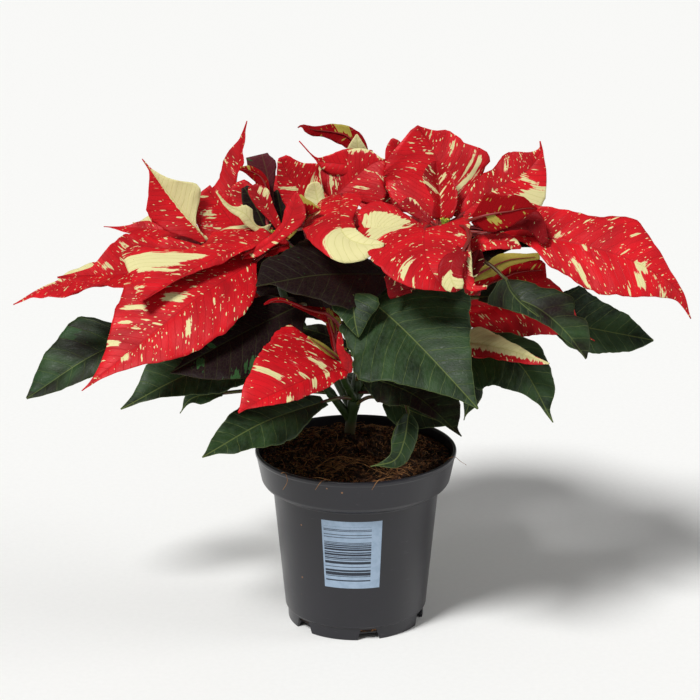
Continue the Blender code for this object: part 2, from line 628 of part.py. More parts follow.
def soil(plant, cutters, finish):
    """The compost, which fills the pot, with a plain hole for the main stem."""
    step = POT_HEIGHT - COLLAR_DEPTH
    gap = CLEAR / math.cos(math.pi / POT_SIDES) + 0.25
    floor = FLOOR_UNDER + FLOOR_THICK + CLEAR
    inner_collar = COLLAR_FOOT_RADIUS - WALL
    slope = (RIM_RADIUS - RIM_WALL - 0.4 - inner_collar) / (COLLAR_DEPTH - 3.6)
    edge = inner_collar + slope * (SOIL_EDGE_HEIGHT - step - 2.6) - gap
    sides = (
        (edge, SOIL_EDGE_HEIGHT), (inner_collar - gap, step + 2.9), (inner_collar - 1.5 - gap, step + 0.9),
        (BODY_TOP_RADIUS - 0.2 - gap, step - 1.5), (BODY_TOP_RADIUS - WALL - gap - 0.1, step - 4.3),
        (BODY_FOOT_RADIUS - WALL - gap - 0.1, FOOT_RING_HEIGHT + 2.2), (BODY_FOOT_RADIUS - 3.6 - gap, floor),
        (0, floor))
    top = [(edge * share, SOIL_EDGE_HEIGHT) for share in (0.0, 0.2, 0.4, 0.6, 0.8, 0.93)]
    shape = bmesh.new()
    knots = [shape.verts.new((radius * MM, 0, height * MM)) for radius, height in (*top, *sides)]
    for first, second in zip(knots, knots[1:]):
        shape.edges.new((first, second))
    mesh = bpy.data.meshes.new("soil")
    shape.to_mesh(mesh)
    shape.free()
    made = new_object("soil", mesh, plant)
    turn = made.modifiers.new("turn", "SCREW")
    turn.steps = turn.render_steps = SOIL_SIDES
    turn.use_merge_vertices = True
    turn.merge_threshold = 1e-5
    settled(made)
    for vert in made.data.vertices:
        if vert.co.z > (SOIL_EDGE_HEIGHT - 0.01) * MM:
            vert.co.z = soil_height(vert.co.x / MM, vert.co.y / MM) * MM
    trunk = shoot_part(SHOOTS["centre"], 0.0, 0.4)
    trunk[0] = trunk[0] - unit(trunk[1] - trunk[0]) * (CLEAR + 0.3)
    hole = tube("stem_hole", trunk, (TRUNK_RADIUS + HOLE_ROOM,) * len(trunk), cutters, 2)
    hole.hide_render = True
    hole.display_type = "WIRE"
    cut = made.modifiers.new("hole", "BOOLEAN")
    cut.operation = "DIFFERENCE"
    cut.object = hole
    made.data.materials.append(finish)
    return made


def shoot_part(shoot, first, last):
    """The samples of a shoot's path between two shares of its length, ending in a short straight run."""
    path = smooth_path(shoot.path, 4 * SPINE_STEPS)
    low = round(first * (len(path) - 1))
    high = round(last * (len(path) - 1))
    count = max(3, round(np.linalg.norm(path[high] - path[low]) / STEM_STEP))
    picked = list(path[np.linspace(low, high, count).round().astype(int)])
    if first > 0:
        picked.insert(1, picked[0] + path_heading(path, low) * STRAIGHT_RUN)
    picked.insert(-1, picked[-1] - path_heading(path, high) * STRAIGHT_RUN)
    return np.array(picked)


def path_heading(path, place):
    """The way a sampled path runs at one of its samples."""
    before = max(place - 2, 0)
    beyond = min(place + 2, len(path) - 1)
    return unit(path[beyond] - path[before])


def shoot_point(name, share):
    path = smooth_path(SHOOTS[name].path, 4 * SPINE_STEPS)
    return path[round(share * (len(path) - 1))]


def after(points, gap):
    """The same points with the first one moved on by a gap, so that two bars meet end to end."""
    moved = np.array(points)
    moved[0] = moved[0] + unit(moved[1] - moved[0]) * gap
    return moved


def leaf_pieces(leaves, shoot_name, holder):
    pieces = []
    for leaf in leaves:
        start = shoot_point(leaf.branch or shoot_name, leaf.joint)
        pieces.append(blade_solid(leaf, holder))
        pieces.append(stalk(leaf, start, LEAF_STALK_RADIUS, holder))
    return pieces


def main_stem(plant, holder, finish):
    """The trunk with the lowest part of every branch and the leaves that grow from them."""
    pieces = []
    for name, shoot in SHOOTS.items():
        points = shoot_part(shoot, 0.0, shoot.low_part)
        thick, thin = 1.15 * SHOOT_RADIUS, SHOOT_RADIUS
        if name == "centre":
            thick, thin = TRUNK_RADIUS, 0.8 * TRUNK_RADIUS
        pieces.append(tube(name + " base", points, np.linspace(thick, thin, len(points)), holder, 2))
    pieces += leaf_pieces(MAIN_LEAVES + MAIN_BACK_LEAVES, "centre", holder)
    return fused("main_stem", pieces, holder, plant, finish)


def leafy_shoot(name, leaves, plant, holder, finish):
    """The upper part of a branch and its leaves."""
    shoot = SHOOTS[name]
    points = after(shoot_part(shoot, shoot.low_part, 1.0), CLEAR)
    thick = 0.8 * TRUNK_RADIUS if name == "centre" else SHOOT_RADIUS
    stem = tube(name + " stem", points, np.linspace(thick, SHOOT_RADIUS, len(points)), holder, 2)
    pieces = [stem] + leaf_pieces(leaves, name, holder)
    return fused("shoot_" + name, pieces, holder, plant, finish)


def hub_line(name):
    """Where the middle of a head begins and ends, straight on from its shoot."""
    path = smooth_path(SHOOTS[name].path, 4 * SPINE_STEPS)
    heading = path_heading(path, len(path) - 1)
    start = path[-1] + heading * CLEAR
    return start, start + heading * HUB_LENGTH


def bract_head(name, bracts, plant, holder, finish):
    """The bracts of one head on the short hub that carries them."""
    start, end = hub_line(name)
    pieces = [tube(name + " hub", (start, (start + end) / 2, end), (SHOOT_RADIUS, HUB_RADIUS, HUB_RADIUS),
                   holder, 2)]
    for number, bract in enumerate(bracts):
        share = 0.15 + 0.45 * (number % 4) / 3
        pieces.append(blade_solid(bract, holder))
        pieces.append(stalk(bract, start + share * (end - start), BRACT_STALK_RADIUS, holder))
    return fused("bracts_" + name, pieces, holder, plant, finish)


def cyathia(name, plant, holder, finish):
    """The buds in the middle of a head, on one low cushion."""
    start, end = hub_line(name)
    heading = unit(end - start)
    seat = end + heading * (CLEAR + 0.5)
    middle, top = seat + heading * 1.5, seat + heading * 3.0
    cushion = tube(name + " cushion", (seat, middle, top), (1.9, 2.2, 1.5), holder, 1)
    pieces = [cushion]
    for number in range(BUDS):
        angle = 2 * math.pi * number / (BUDS - 1) + 0.4
        out = 0 if number == BUDS - 1 else BUD_SPREAD
        lean = np.array([math.cos(angle) * out, math.sin(angle) * out, 0])
        foot = seat + heading * 1.4 + 0.5 * lean
        top = seat + heading * (BUD_LENGTH + 1.4) + 1.3 * lean
        knots = [foot + (top - foot) * share for share in (0.0, 0.35, 0.75, 1.0)]
        pieces.append(tube(f"{name} bud {number}", knots, (0.9, 1.4, 1.2, 0.5), holder, 0))
    return fused("cyathia_" + name, pieces, holder, plant, finish)


def clear_scene():
    for obj in list(bpy.data.objects):
        bpy.data.objects.remove(obj)


def main():
    clear_scene()
    scene = bpy.context.scene.collection
    plant, cutters, holder = (bpy.data.collections.new(name)
                              for name in ("poinsettia", "cutters", "workshop"))
    for group in (plant, cutters, holder):
        scene.children.link(group)
    cutters.hide_render = True
    plastic = material("pot plastic", "3B3C40", 0.42)
    compost = material("compost", "2C1C12", 0.95)
    leaf = material("leaf green", "22402B", 0.5)
    red = material("bract red", "E0202A", 0.55)
    bud = material("bud green", "8FA03A", 0.5)
    pot(plant, cutters, plastic)
    soil(plant, cutters, compost)
    main_stem(plant, holder, leaf)
    for name, leaves, bracts in HEADS:
        leafy_shoot(name, leaves, plant, holder, leaf)
        bract_head(name, bracts, plant, holder, red)
        cyathia(name, plant, holder, bud)
    bpy.data.collections.remove(holder)


main()
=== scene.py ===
"""The look of a variegated poinsettia in its grower's pot.

Lengths are in millimetres unless a name says otherwise. The origin is the middle of the pot's underside, +Z
is up and -Y is the front.
"""

import logging
import math
from collections.abc import Iterable, Mapping, Sequence
from dataclasses import dataclass, field
from enum import Enum, IntEnum
from typing import Any

import bmesh
import bpy
import numpy as np
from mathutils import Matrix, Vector, noise

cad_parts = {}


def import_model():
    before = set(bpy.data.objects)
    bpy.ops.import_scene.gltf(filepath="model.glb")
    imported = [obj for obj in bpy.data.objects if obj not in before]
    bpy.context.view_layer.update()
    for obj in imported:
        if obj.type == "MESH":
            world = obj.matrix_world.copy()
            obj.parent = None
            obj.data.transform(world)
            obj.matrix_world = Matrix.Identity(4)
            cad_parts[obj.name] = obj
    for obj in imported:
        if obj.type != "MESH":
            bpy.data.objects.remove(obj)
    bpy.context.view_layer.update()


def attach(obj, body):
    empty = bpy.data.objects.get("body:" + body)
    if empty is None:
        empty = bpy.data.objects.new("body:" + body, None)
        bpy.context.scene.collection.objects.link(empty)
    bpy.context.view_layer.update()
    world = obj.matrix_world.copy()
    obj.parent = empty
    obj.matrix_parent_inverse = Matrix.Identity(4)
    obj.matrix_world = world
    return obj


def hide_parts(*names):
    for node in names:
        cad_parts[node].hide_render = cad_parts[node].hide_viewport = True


LOG = logging.getLogger("poinsettia")
MM = 0.001
BODY = "root"
SPINE_STEPS = 65
FINE_STEPS = 4 * SPINE_STEPS
CLEAR = 0.3
USUAL_SHARES = (0, 0.1, 0.2, 0.3, 0.4, 0.5, 0.6, 0.7, 0.8, 0.9, 0.96, 1)

Point = tuple[float, float, float]
Margin = tuple[tuple[float, float], ...]
Profile = Sequence[tuple[float, float]]
Sines = tuple[tuple[float, int], ...]
Faces = list[tuple[int, ...]]


class Slot(Enum):
    """The kinds of material that the pieces are finished in."""

    POT = "pot_plastic"
    SOIL = "soil"
    LEAF = "leaf"
    BRACT = "bract"
    BUD = "bud"


class Skin(IntEnum):
    """The material slots of a leafy piece, in order."""

    BLADE = 0
    STALK = 1
    STEM = 2


class Bud(IntEnum):
    """The material slots of a cluster of true flowers, in order."""

    CUP = 0
    GLAND = 1
    STAMEN = 2


@dataclass(frozen=True)
class Patch:
    """A cream or green patch that lies along the side veins.

    side is 1 for the right half of the blade and -1 for the left. place is how far along the midrib the
    patch's middle vein starts, spread is half its size across the veins, and inner and outer are shares of
    the half width between which it lies.
    """

    side: int
    place: float
    spread: float
    inner: float = 0.0
    outer: float = 1.4


ALL_OVER = (Patch(1, 50, 300, -1, 3), Patch(-1, 50, 300, -1, 3))


@dataclass(frozen=True)
class Blade:
    """A leaf or a bract.

    path is its midrib from the stalk to the tip, and face is the way its upper side looks. Each pair of
    numbers is for the right and left half, seen from above looking out to the tip. outline, if given, is the
    margin of each half, and otherwise width and tip shape it: the higher tip is, the more pointed the blade.
    fold and curl are degrees, pinch is how many more it folds near its base, wave is how many mm its margin
    waves, and lobes is how many mm each half reaches back beside the stalk. joint is how far up its shoot,
    or up the one that branch names, a leaf's stalk begins, from 0 to 1. maroon is the share of dark red: on a
    bract it is painted shade that turns the red to wine in folds and hollows, and on a leaf it is partly the
    leaf's own colour and partly painted shade. flecks is how thickly a bract is flecked with cream.
    """

    label: str
    path: tuple[Point, ...]
    face: Point
    width: tuple[float, float]
    fold: float = 12.0
    curl: tuple[float, float] = (-15.0, -15.0)
    tip: float = 1.7
    wave: float = 2.0
    joint: float = 0.5
    branch: str = ""
    maroon: float = 0.12
    flecks: float = 0.5
    patches: tuple[Patch, ...] = ()
    pinch: float = 0.0
    outline: tuple[Margin, ...] = ()
    lobes: tuple[float, float] = (0.0, 0.0)


@dataclass(frozen=True)
class Shoot:
    """A branch: its path from the trunk to its head, and the share of it that belongs to the main stem."""

    path: tuple[Point, ...]
    low_part: float


def pairs(*numbers: float) -> Margin:
    """A margin from pairs of numbers: a per cent of the blade's length, and the half's width there in mm."""
    return tuple(zip((place / 100 for place in numbers[::2]), numbers[1::2]))


def even(*widths: float) -> Margin:
    """A margin from the half's widths in mm at the usual shares of the blade's length."""
    return tuple(zip(USUAL_SHARES, widths))


SHOOTS = {
    "centre": Shoot(((-4, 12, 101), (-4, 11, 122), (-1, 6, 146), (2, 5, 172), (3, 10, 205), (-3, 20, 238),
        (-11, 27, 262)), 0.55),
    "left": Shoot(((-4, 10, 132), (-12, 3, 146), (-24, -3, 166), (-38, -7, 198), (-48, -8, 230),
        (-52, -8, 250)), 0.36),
    "right": Shoot(((0, 6, 154), (12, 2, 178), (28, -5, 212), (43, -12, 243), (51, -16, 262)), 0.36),
    "front": Shoot(((-1, 6, 146), (-5, -10, 160), (-8, -25, 172), (-9, -34, 185)), 0.45),
    "low_right": Shoot(((1, 6, 150), (20, 9, 168), (42, 6, 184), (54, 2, 192)), 0.4),
    "back": Shoot(((1, 6, 156), (5, 28, 178), (6, 52, 204), (4, 68, 228)), 0.36),
    "low_back": Shoot(((-3, 8, 140), (-18, 28, 162), (-34, 46, 182), (-44, 58, 196)), 0.36),
}

LEFT_BRACTS = (
    Blade("far left low", ((-97, -10, 251), (-147, -14, 240), (-188, -18, 231), (-214, -20, 218)),
        (0.1, -0.35, 0.93), (14, 22), fold=8, curl=(-10, -10), flecks=0.6, patches=(Patch(1, 84, 22, 0.2),),
        outline=(pairs(0, 5, 30, 10, 55, 9.5, 63, 7, 69, 6.5, 75, 1.5, 88, 1.8, 100, 0.4), pairs(0, 8, 30, 14,
        55, 13.5, 62, 14.5, 68, 18.8, 73, 21, 79, 16, 85, 10.2, 89, 3.5, 100, 0.3))),
    Blade("far left", ((-91, -16, 248), (-139, -32, 242), (-183, -42, 242)), (0, -0.5, 0.85), (31, 28),
        fold=20, curl=(0, 0), flecks=0.45, patches=(Patch(1, 62, 3, 0.25, 0.5), Patch(1, 36, 2, 0.6, 0.95)),
        outline=(pairs(0, 6, 20, 18, 40, 26, 50, 27, 56, 24.5, 64, 18.2, 72, 12, 77, 6, 90, 2.5, 100, 0.5),
        pairs(0, 6, 20, 15, 40, 21, 62, 20, 69, 17, 77, 14.8, 83, 9.8, 90, 5, 100, 1))),
    Blade("left flat", ((-87, 13, 252), (-124, 23, 255), (-161, 27, 256)), (0, -0.45, 0.9), (6, 21), fold=10,
        curl=(0, 0), tip=1.6),
    Blade("left cream tip", ((-117, 27, 251), (-131, 31, 256), (-143, 33, 257)), (0, -0.45, 0.9), (9, 5),
        patches=ALL_OVER),
    Blade("left half cream", ((-93, -6, 255), (-111, 0, 276), (-133, 2, 306)), (-0.2, -0.9, 0.45), (19, 20),
        fold=14, curl=(-10, -10), flecks=0.35, pinch=14, patches=(Patch(1, 40, 90),), outline=(pairs(0, 3,
        10, 0.8, 20, 2, 27, 6, 34, 12.8, 43, 18.4, 50, 18.8, 58, 14, 70, 6.5, 80, 3, 88, 0.9, 100, 0.3),
        pairs(0, 3, 15, 8, 27, 14, 38, 17, 50, 19.2, 59, 17.5, 68, 11.5, 80, 4.5, 87, 1, 100, 0.3))),
    Blade("left inner", ((-69.1, 2, 253.9), (-81.7, 7, 269.4), (-94.2, 10, 285.5)), (0, -0.9, 0.45),
        (9.6, 20), wave=1.2, patches=(Patch(-1, 22, 2.2, 0.35, 0.8), Patch(-1, 12, 1.6, 0.5, 0.9)),
        outline=(even(5.6, 6.4, 7.6, 8.8, 9.2, 9.6, 9.2, 8, 6.4, 4, 3.2, 3.2), even(7.6, 10.8, 14.8, 17.6,
        19.2, 20, 19.2, 18.4, 16, 12, 8.4, 2.8))),
    Blade("left tall", ((-80, 8, 264), (-77.8, 12, 274), (-76.2, 16, 287.9), (-73.9, 18, 299.7),
        (-71.6, 20, 312.1), (-68.3, 20, 326.2)), (-0.5, -0.8, 0.15), (5.6, 19.6), fold=16, curl=(-10, -15),
        wave=1, maroon=0.25, flecks=0.4, patches=(Patch(-1, 30, 1.6, 0.1, 0.4),), outline=(pairs(0, 0.8,
        30, 1.2, 48, 0.8, 54, 3.5, 60, 5.6, 66, 4, 70, 2.2, 80, 2.4, 90, 0.6, 100, 0.3), pairs(0, 14, 10, 19,
        20, 19.6, 30, 16.4, 40, 11.6, 50, 11.2, 60, 10.8, 70, 6.8, 80, 2.4, 90, 1.2, 100, 0.3))),
    Blade("left pink", ((-61.5, 2, 265.5), (-67.9, 10, 279), (-72.3, 14, 289.3)), (0, -0.9, 0.45),
        (7.6, 11.2), curl=(-10, -10), wave=0.6, outline=(pairs(0, 5, 30, 7.6, 70, 7.2, 90, 4.8, 100, 2),
        pairs(0, 9, 30, 10.8, 60, 10.8, 90, 9.2, 100, 3))),
    Blade("left front banded", ((-52, -21, 263), (-92, -53, 254), (-129, -81, 238)), (-0.1, -0.4, 0.9),
        (27, 6), fold=5, patches=(Patch(1, 52, 9.5, 0.3), Patch(1, 65, 2.4, 0.15, 0.62),
        Patch(1, -4, 3, 0.66, 1.1), Patch(1, 87, 2.4, 0.4, 0.9)), outline=(pairs(0, 12, 12, 24, 25, 27,
        39, 20, 50, 19, 61, 31, 71, 46, 78, 51, 85, 34, 93, 17, 100, 2), pairs(0, 6, 20, 6, 38, 4.8, 64, 2.5,
        84, 1, 100, 0.3))),
    Blade("left front large", ((-62, -33, 250), (-104, -71, 231), (-163, -105, 190)), (-0.2, -0.7, 0.7),
        (36, 31), fold=6, patches=(Patch(1, 51, 4.6, 0.12, 0.38), Patch(1, 63, 2.4, 0.42, 0.85),
        Patch(-1, 57, 2.2, 0.3, 0.62), Patch(1, 97, 2.6, 0.4, 0.95), Patch(-1, 106, 3, 0, 0.35),
        Patch(1, 79, 2, 0.5, 0.8)), outline=(pairs(0, 10, 20, 28, 39, 38, 53, 40.5, 60, 33, 66, 27, 73, 20,
        80, 12, 89, 4.5, 95, 1.2, 100, 0.2), pairs(0, 1, 10, 16, 17, 24, 27, 29, 40, 30, 52, 28, 60, 25,
        68, 19.5, 75, 12.5, 82, 7, 91, 2, 100, 0.2))),
    Blade("left across", ((-70.2, -34, 252.4), (-57.6, -38, 259.5), (-47.7, -40, 268.3), (-40.8, -41, 278),
        (-37.8, -41, 286.8), (-35.9, -40, 295.3)), (-0.1, -0.8, 0.6), (11.6, 5.2), fold=6, curl=(0, -10),
        wave=0.4, patches=(Patch(-1, -2, 2.4, 0.6, 1), Patch(1, 8, 1.2, 0.1, 0.6)), outline=(even(1.2, 2.8, 4,
        3.2, 3.6, 4.8, 6.8, 8.8, 11.6, 7.2, 2.8, 0.4), even(1.6, 2, 2.8, 3.6, 3.6, 3.6, 3.2, 4.8, 5.2, 4, 2,
        0.8))),
    Blade("left across tip", ((-44.3, -29, 264.7), (-33.1, -33, 275.9), (-21.4, -37, 283.5)),
        (0.1, 0.85, -0.4), (15.6, 3.6), fold=0, curl=(0, 0), wave=0.3, maroon=0.3,
        patches=(Patch(1, 50, 300, 0.6, 3), Patch(-1, 50, 300, 0.55, 3)), outline=(even(4, 5.2, 6.4, 7.6, 9.2,
        11.2, 14, 15.6, 10, 6, 2.8, 0.8), even(3.6, 3.6, 3.6, 3.2, 2.4, 1.6, 0.8, 0.8, 0.8, 0.4, 0.4, 0.4))),
    Blade("left across under", ((-64.6, -18, 248.9), (-53.3, -21, 253.6), (-41.4, -24, 258.3)),
        (0, 0.85, -0.5), (6.8, 4.4), fold=0, curl=(0, 0), wave=0.4, flecks=0.15, outline=(even(3.2, 3.2, 3.6,
        4, 4.8, 6, 6.4, 6.4, 6.8, 5.6, 5.2, 0.8), even(2.4, 2.8, 2.8, 3.2, 3.6, 4.4, 4.4, 3.2, 3.2, 4, 2.8,
        2.4))),
    Blade("left cream curl", ((-54.7, -14, 263.3), (-62, -17, 267.9), (-68.5, -20, 276.4),
        (-76.4, -22, 280.7), (-81.2, -23, 285.7), (-85.9, -24, 291.6)), (0.2, -0.75, 0.65), (6, 5.2), fold=4,
        curl=(20, -20), wave=0.4, patches=ALL_OVER, outline=(even(5.6, 1.6, 0.8, 1.6, 6, 5.2, 2, 0.8, 0.4,
        0.4, 0.4, 0.4), even(2.8, 3.6, 3.6, 4.8, 5.2, 4.4, 3.2, 2.8, 2.4, 1.2, 0.8, 0.4))),
    Blade("left bud bract", ((-47.5, -4, 260.6), (-54.3, -2, 273), (-59.9, 0, 281.5), (-64.3, 2, 289.4)),
        (0.2, -0.85, 0.4), (7.2, 6.8), fold=16, curl=(15, 15), wave=0.4, maroon=0.35,
        patches=(Patch(1, 21, 2.2, 0.45), Patch(1, 27, 1.2, 0.2, 0.7)), outline=(pairs(0, 2, 20, 3.6, 50, 4.8,
        70, 6.8, 80, 7.2, 90, 5.6, 100, 2), pairs(0, 1.2, 20, 2.4, 40, 4.4, 60, 6.4, 80, 6.8, 96, 6,
        100, 4))),
    Blade("left curled", ((-56.4, 4, 276), (-56, 6, 287.1), (-61.3, 8, 295), (-72.5, 8, 298.8)),
        (0, 0.9, 0.3), (5.6, 3.2), fold=0, curl=(0, 0), wave=0.3, maroon=0.5, flecks=0.2,
        patches=(Patch(-1, 30, 4, 0.3),), outline=(even(2.8, 2.8, 3.2, 3.2, 4, 5.2, 5.6, 5.2, 4, 2, 1.6, 1.6),
        even(2.8, 2.4, 2, 2, 2.4, 2.8, 2.8, 2.8, 3.2, 2.8, 1.6, 0.8))),
)

CENTRE_BRACTS = (
    Blade("centre left", ((-27.5, 10, 273.4), (-36.6, 12, 283.7), (-43.5, 12, 295.2), (-47.2, 10, 305.2)),
        (-0.1, -0.9, 0.4), (20, 12.4), wave=1.2, flecks=0.55, patches=(Patch(-1, 15, 1.4),
        Patch(1, 4, 2, 0.35, 0.8)), outline=(even(9.2, 12, 14.4, 16, 17.6, 18.8, 20, 14, 10, 7.2, 5.6, 3.5),
        even(7.6, 10.4, 12, 12.4, 11.6, 10.4, 8.8, 7.6, 5.6, 3.6, 2.8, 1.2))),
    Blade("centre small cream", ((-22.6, 6, 272.3), (-24.7, 8, 281.1), (-26.4, 8, 290)), (0, -0.9, 0.4),
        (5.6, 7.6), curl=(-10, -10), wave=0.5, patches=ALL_OVER, outline=(even(5.6, 5.6, 5.2, 5.2, 4.8, 4.8,
        4.8, 4.8, 4.4, 3.6, 3.2, 1.6), even(6, 6.4, 6.8, 7.2, 7.6, 7.6, 7.6, 7.2, 6, 4.8, 3.6, 1.6))),
    Blade("centre back left", ((8.2, 30, 293.8), (-0.9, 24, 296.6), (-12.2, 22, 298.5), (-20.6, 22, 299.2),
        (-25.5, 22, 301.4), (-30.4, 23, 306.5), (-35.8, 24, 312.5)), (0, -0.9, 0.35), (11.2, 7.6), fold=8,
        curl=(10, -35), wave=0.8, flecks=0.45, patches=(Patch(1, 2, 1.6, 0.05, 0.9),), outline=(even(11.2,
        10.8, 10.8, 10.4, 9.2, 5.6, 4, 1.2, 0.4, 0.4, 0.4, 0.4), even(2.8, 5.6, 6.8, 7.2, 7.6, 7.6, 4.4, 0.4,
        0.4, 0.4, 0.4, 0.4))),
    Blade("centre arched", ((5.5, 42, 292.4), (1.9, 44, 304.3), (-5.2, 45, 310.6), (-15.1, 44, 313.8),
        (-25, 42, 315.2), (-31.3, 40, 317.5), (-34.5, 40, 319), (-37, 40, 317.5)), (0, 0.953, -0.304),
        (6.8, 6.4), fold=0, curl=(0, 0), wave=0.5, flecks=0.2, patches=(Patch(-1, 24, 5, 0.1),),
        outline=(pairs(0, 4, 10, 5, 20, 6.4, 30, 6.8, 40, 6.8, 50, 6.4, 60, 4.8, 70, 3.4, 80, 4, 88, 3.4,
        93, 1.2, 100, 0.3), even(4, 4.4, 5.2, 6.4, 6.4, 6, 5.2, 3.6, 2.4, 1.6, 0.5, 0.3))),
    Blade("centre cream behind", ((1.9, 34, 296.4), (1.2, 33, 306.1), (0.5, 33, 315)), (0, -0.9, 0.3),
        (7.2, 7.2), fold=4, curl=(-5, -5), wave=0.3, patches=ALL_OVER, outline=(pairs(0, 5, 20, 6.8, 40, 6,
        60, 4.4, 80, 2.4, 100, 0.3), pairs(0, 5, 20, 6.8, 50, 7.2, 70, 4.8, 90, 1.8, 100, 0.3))),
    Blade("centre right", ((-15, 18, 275.7), (-5.9, 20, 284.6), (3.3, 20, 293.3), (11, 20, 299),
        (18.6, 20, 301.1)), (0, -0.85, 0.5), (23.6, 24.4), curl=(-20, -15), wave=1, maroon=0.22,
        patches=(Patch(-1, 13, 40, 0.84), Patch(-1, 3, 1.8, 0.3, 0.7), Patch(-1, 9, 1.5, 0.25, 0.6),
        Patch(1, 30, 1.8, 0.3, 0.9), Patch(1, 13, 1, 0.25, 0.5)), outline=(even(3, 5, 8, 13.2, 21.6, 24, 24,
        22, 20, 18, 12, 2), even(7.2, 16.4, 23.2, 24.4, 22.4, 20, 17.6, 14.8, 11.2, 4, 1.5, 0.4))),
    Blade("centre front", ((-9, 4, 282.8), (-10.2, -34, 279), (-7.8, -60, 274.7), (1.6, -69, 270.9),
        (16.5, -72, 270.6)), (-0.1, -0.7, 0.7), (23.6, 14), curl=(-30, -20), flecks=0.45,
        patches=(Patch(1, 97, 40), Patch(-1, 100, 40)), outline=(even(7, 13.2, 16.8, 20.4, 22, 23.6, 22.4,
        20.8, 20.4, 11.6, 4, 0.8), even(6.4, 12, 14, 12.4, 9.2, 8, 8.8, 8, 6.8, 5.6, 4, 1.6))),
)
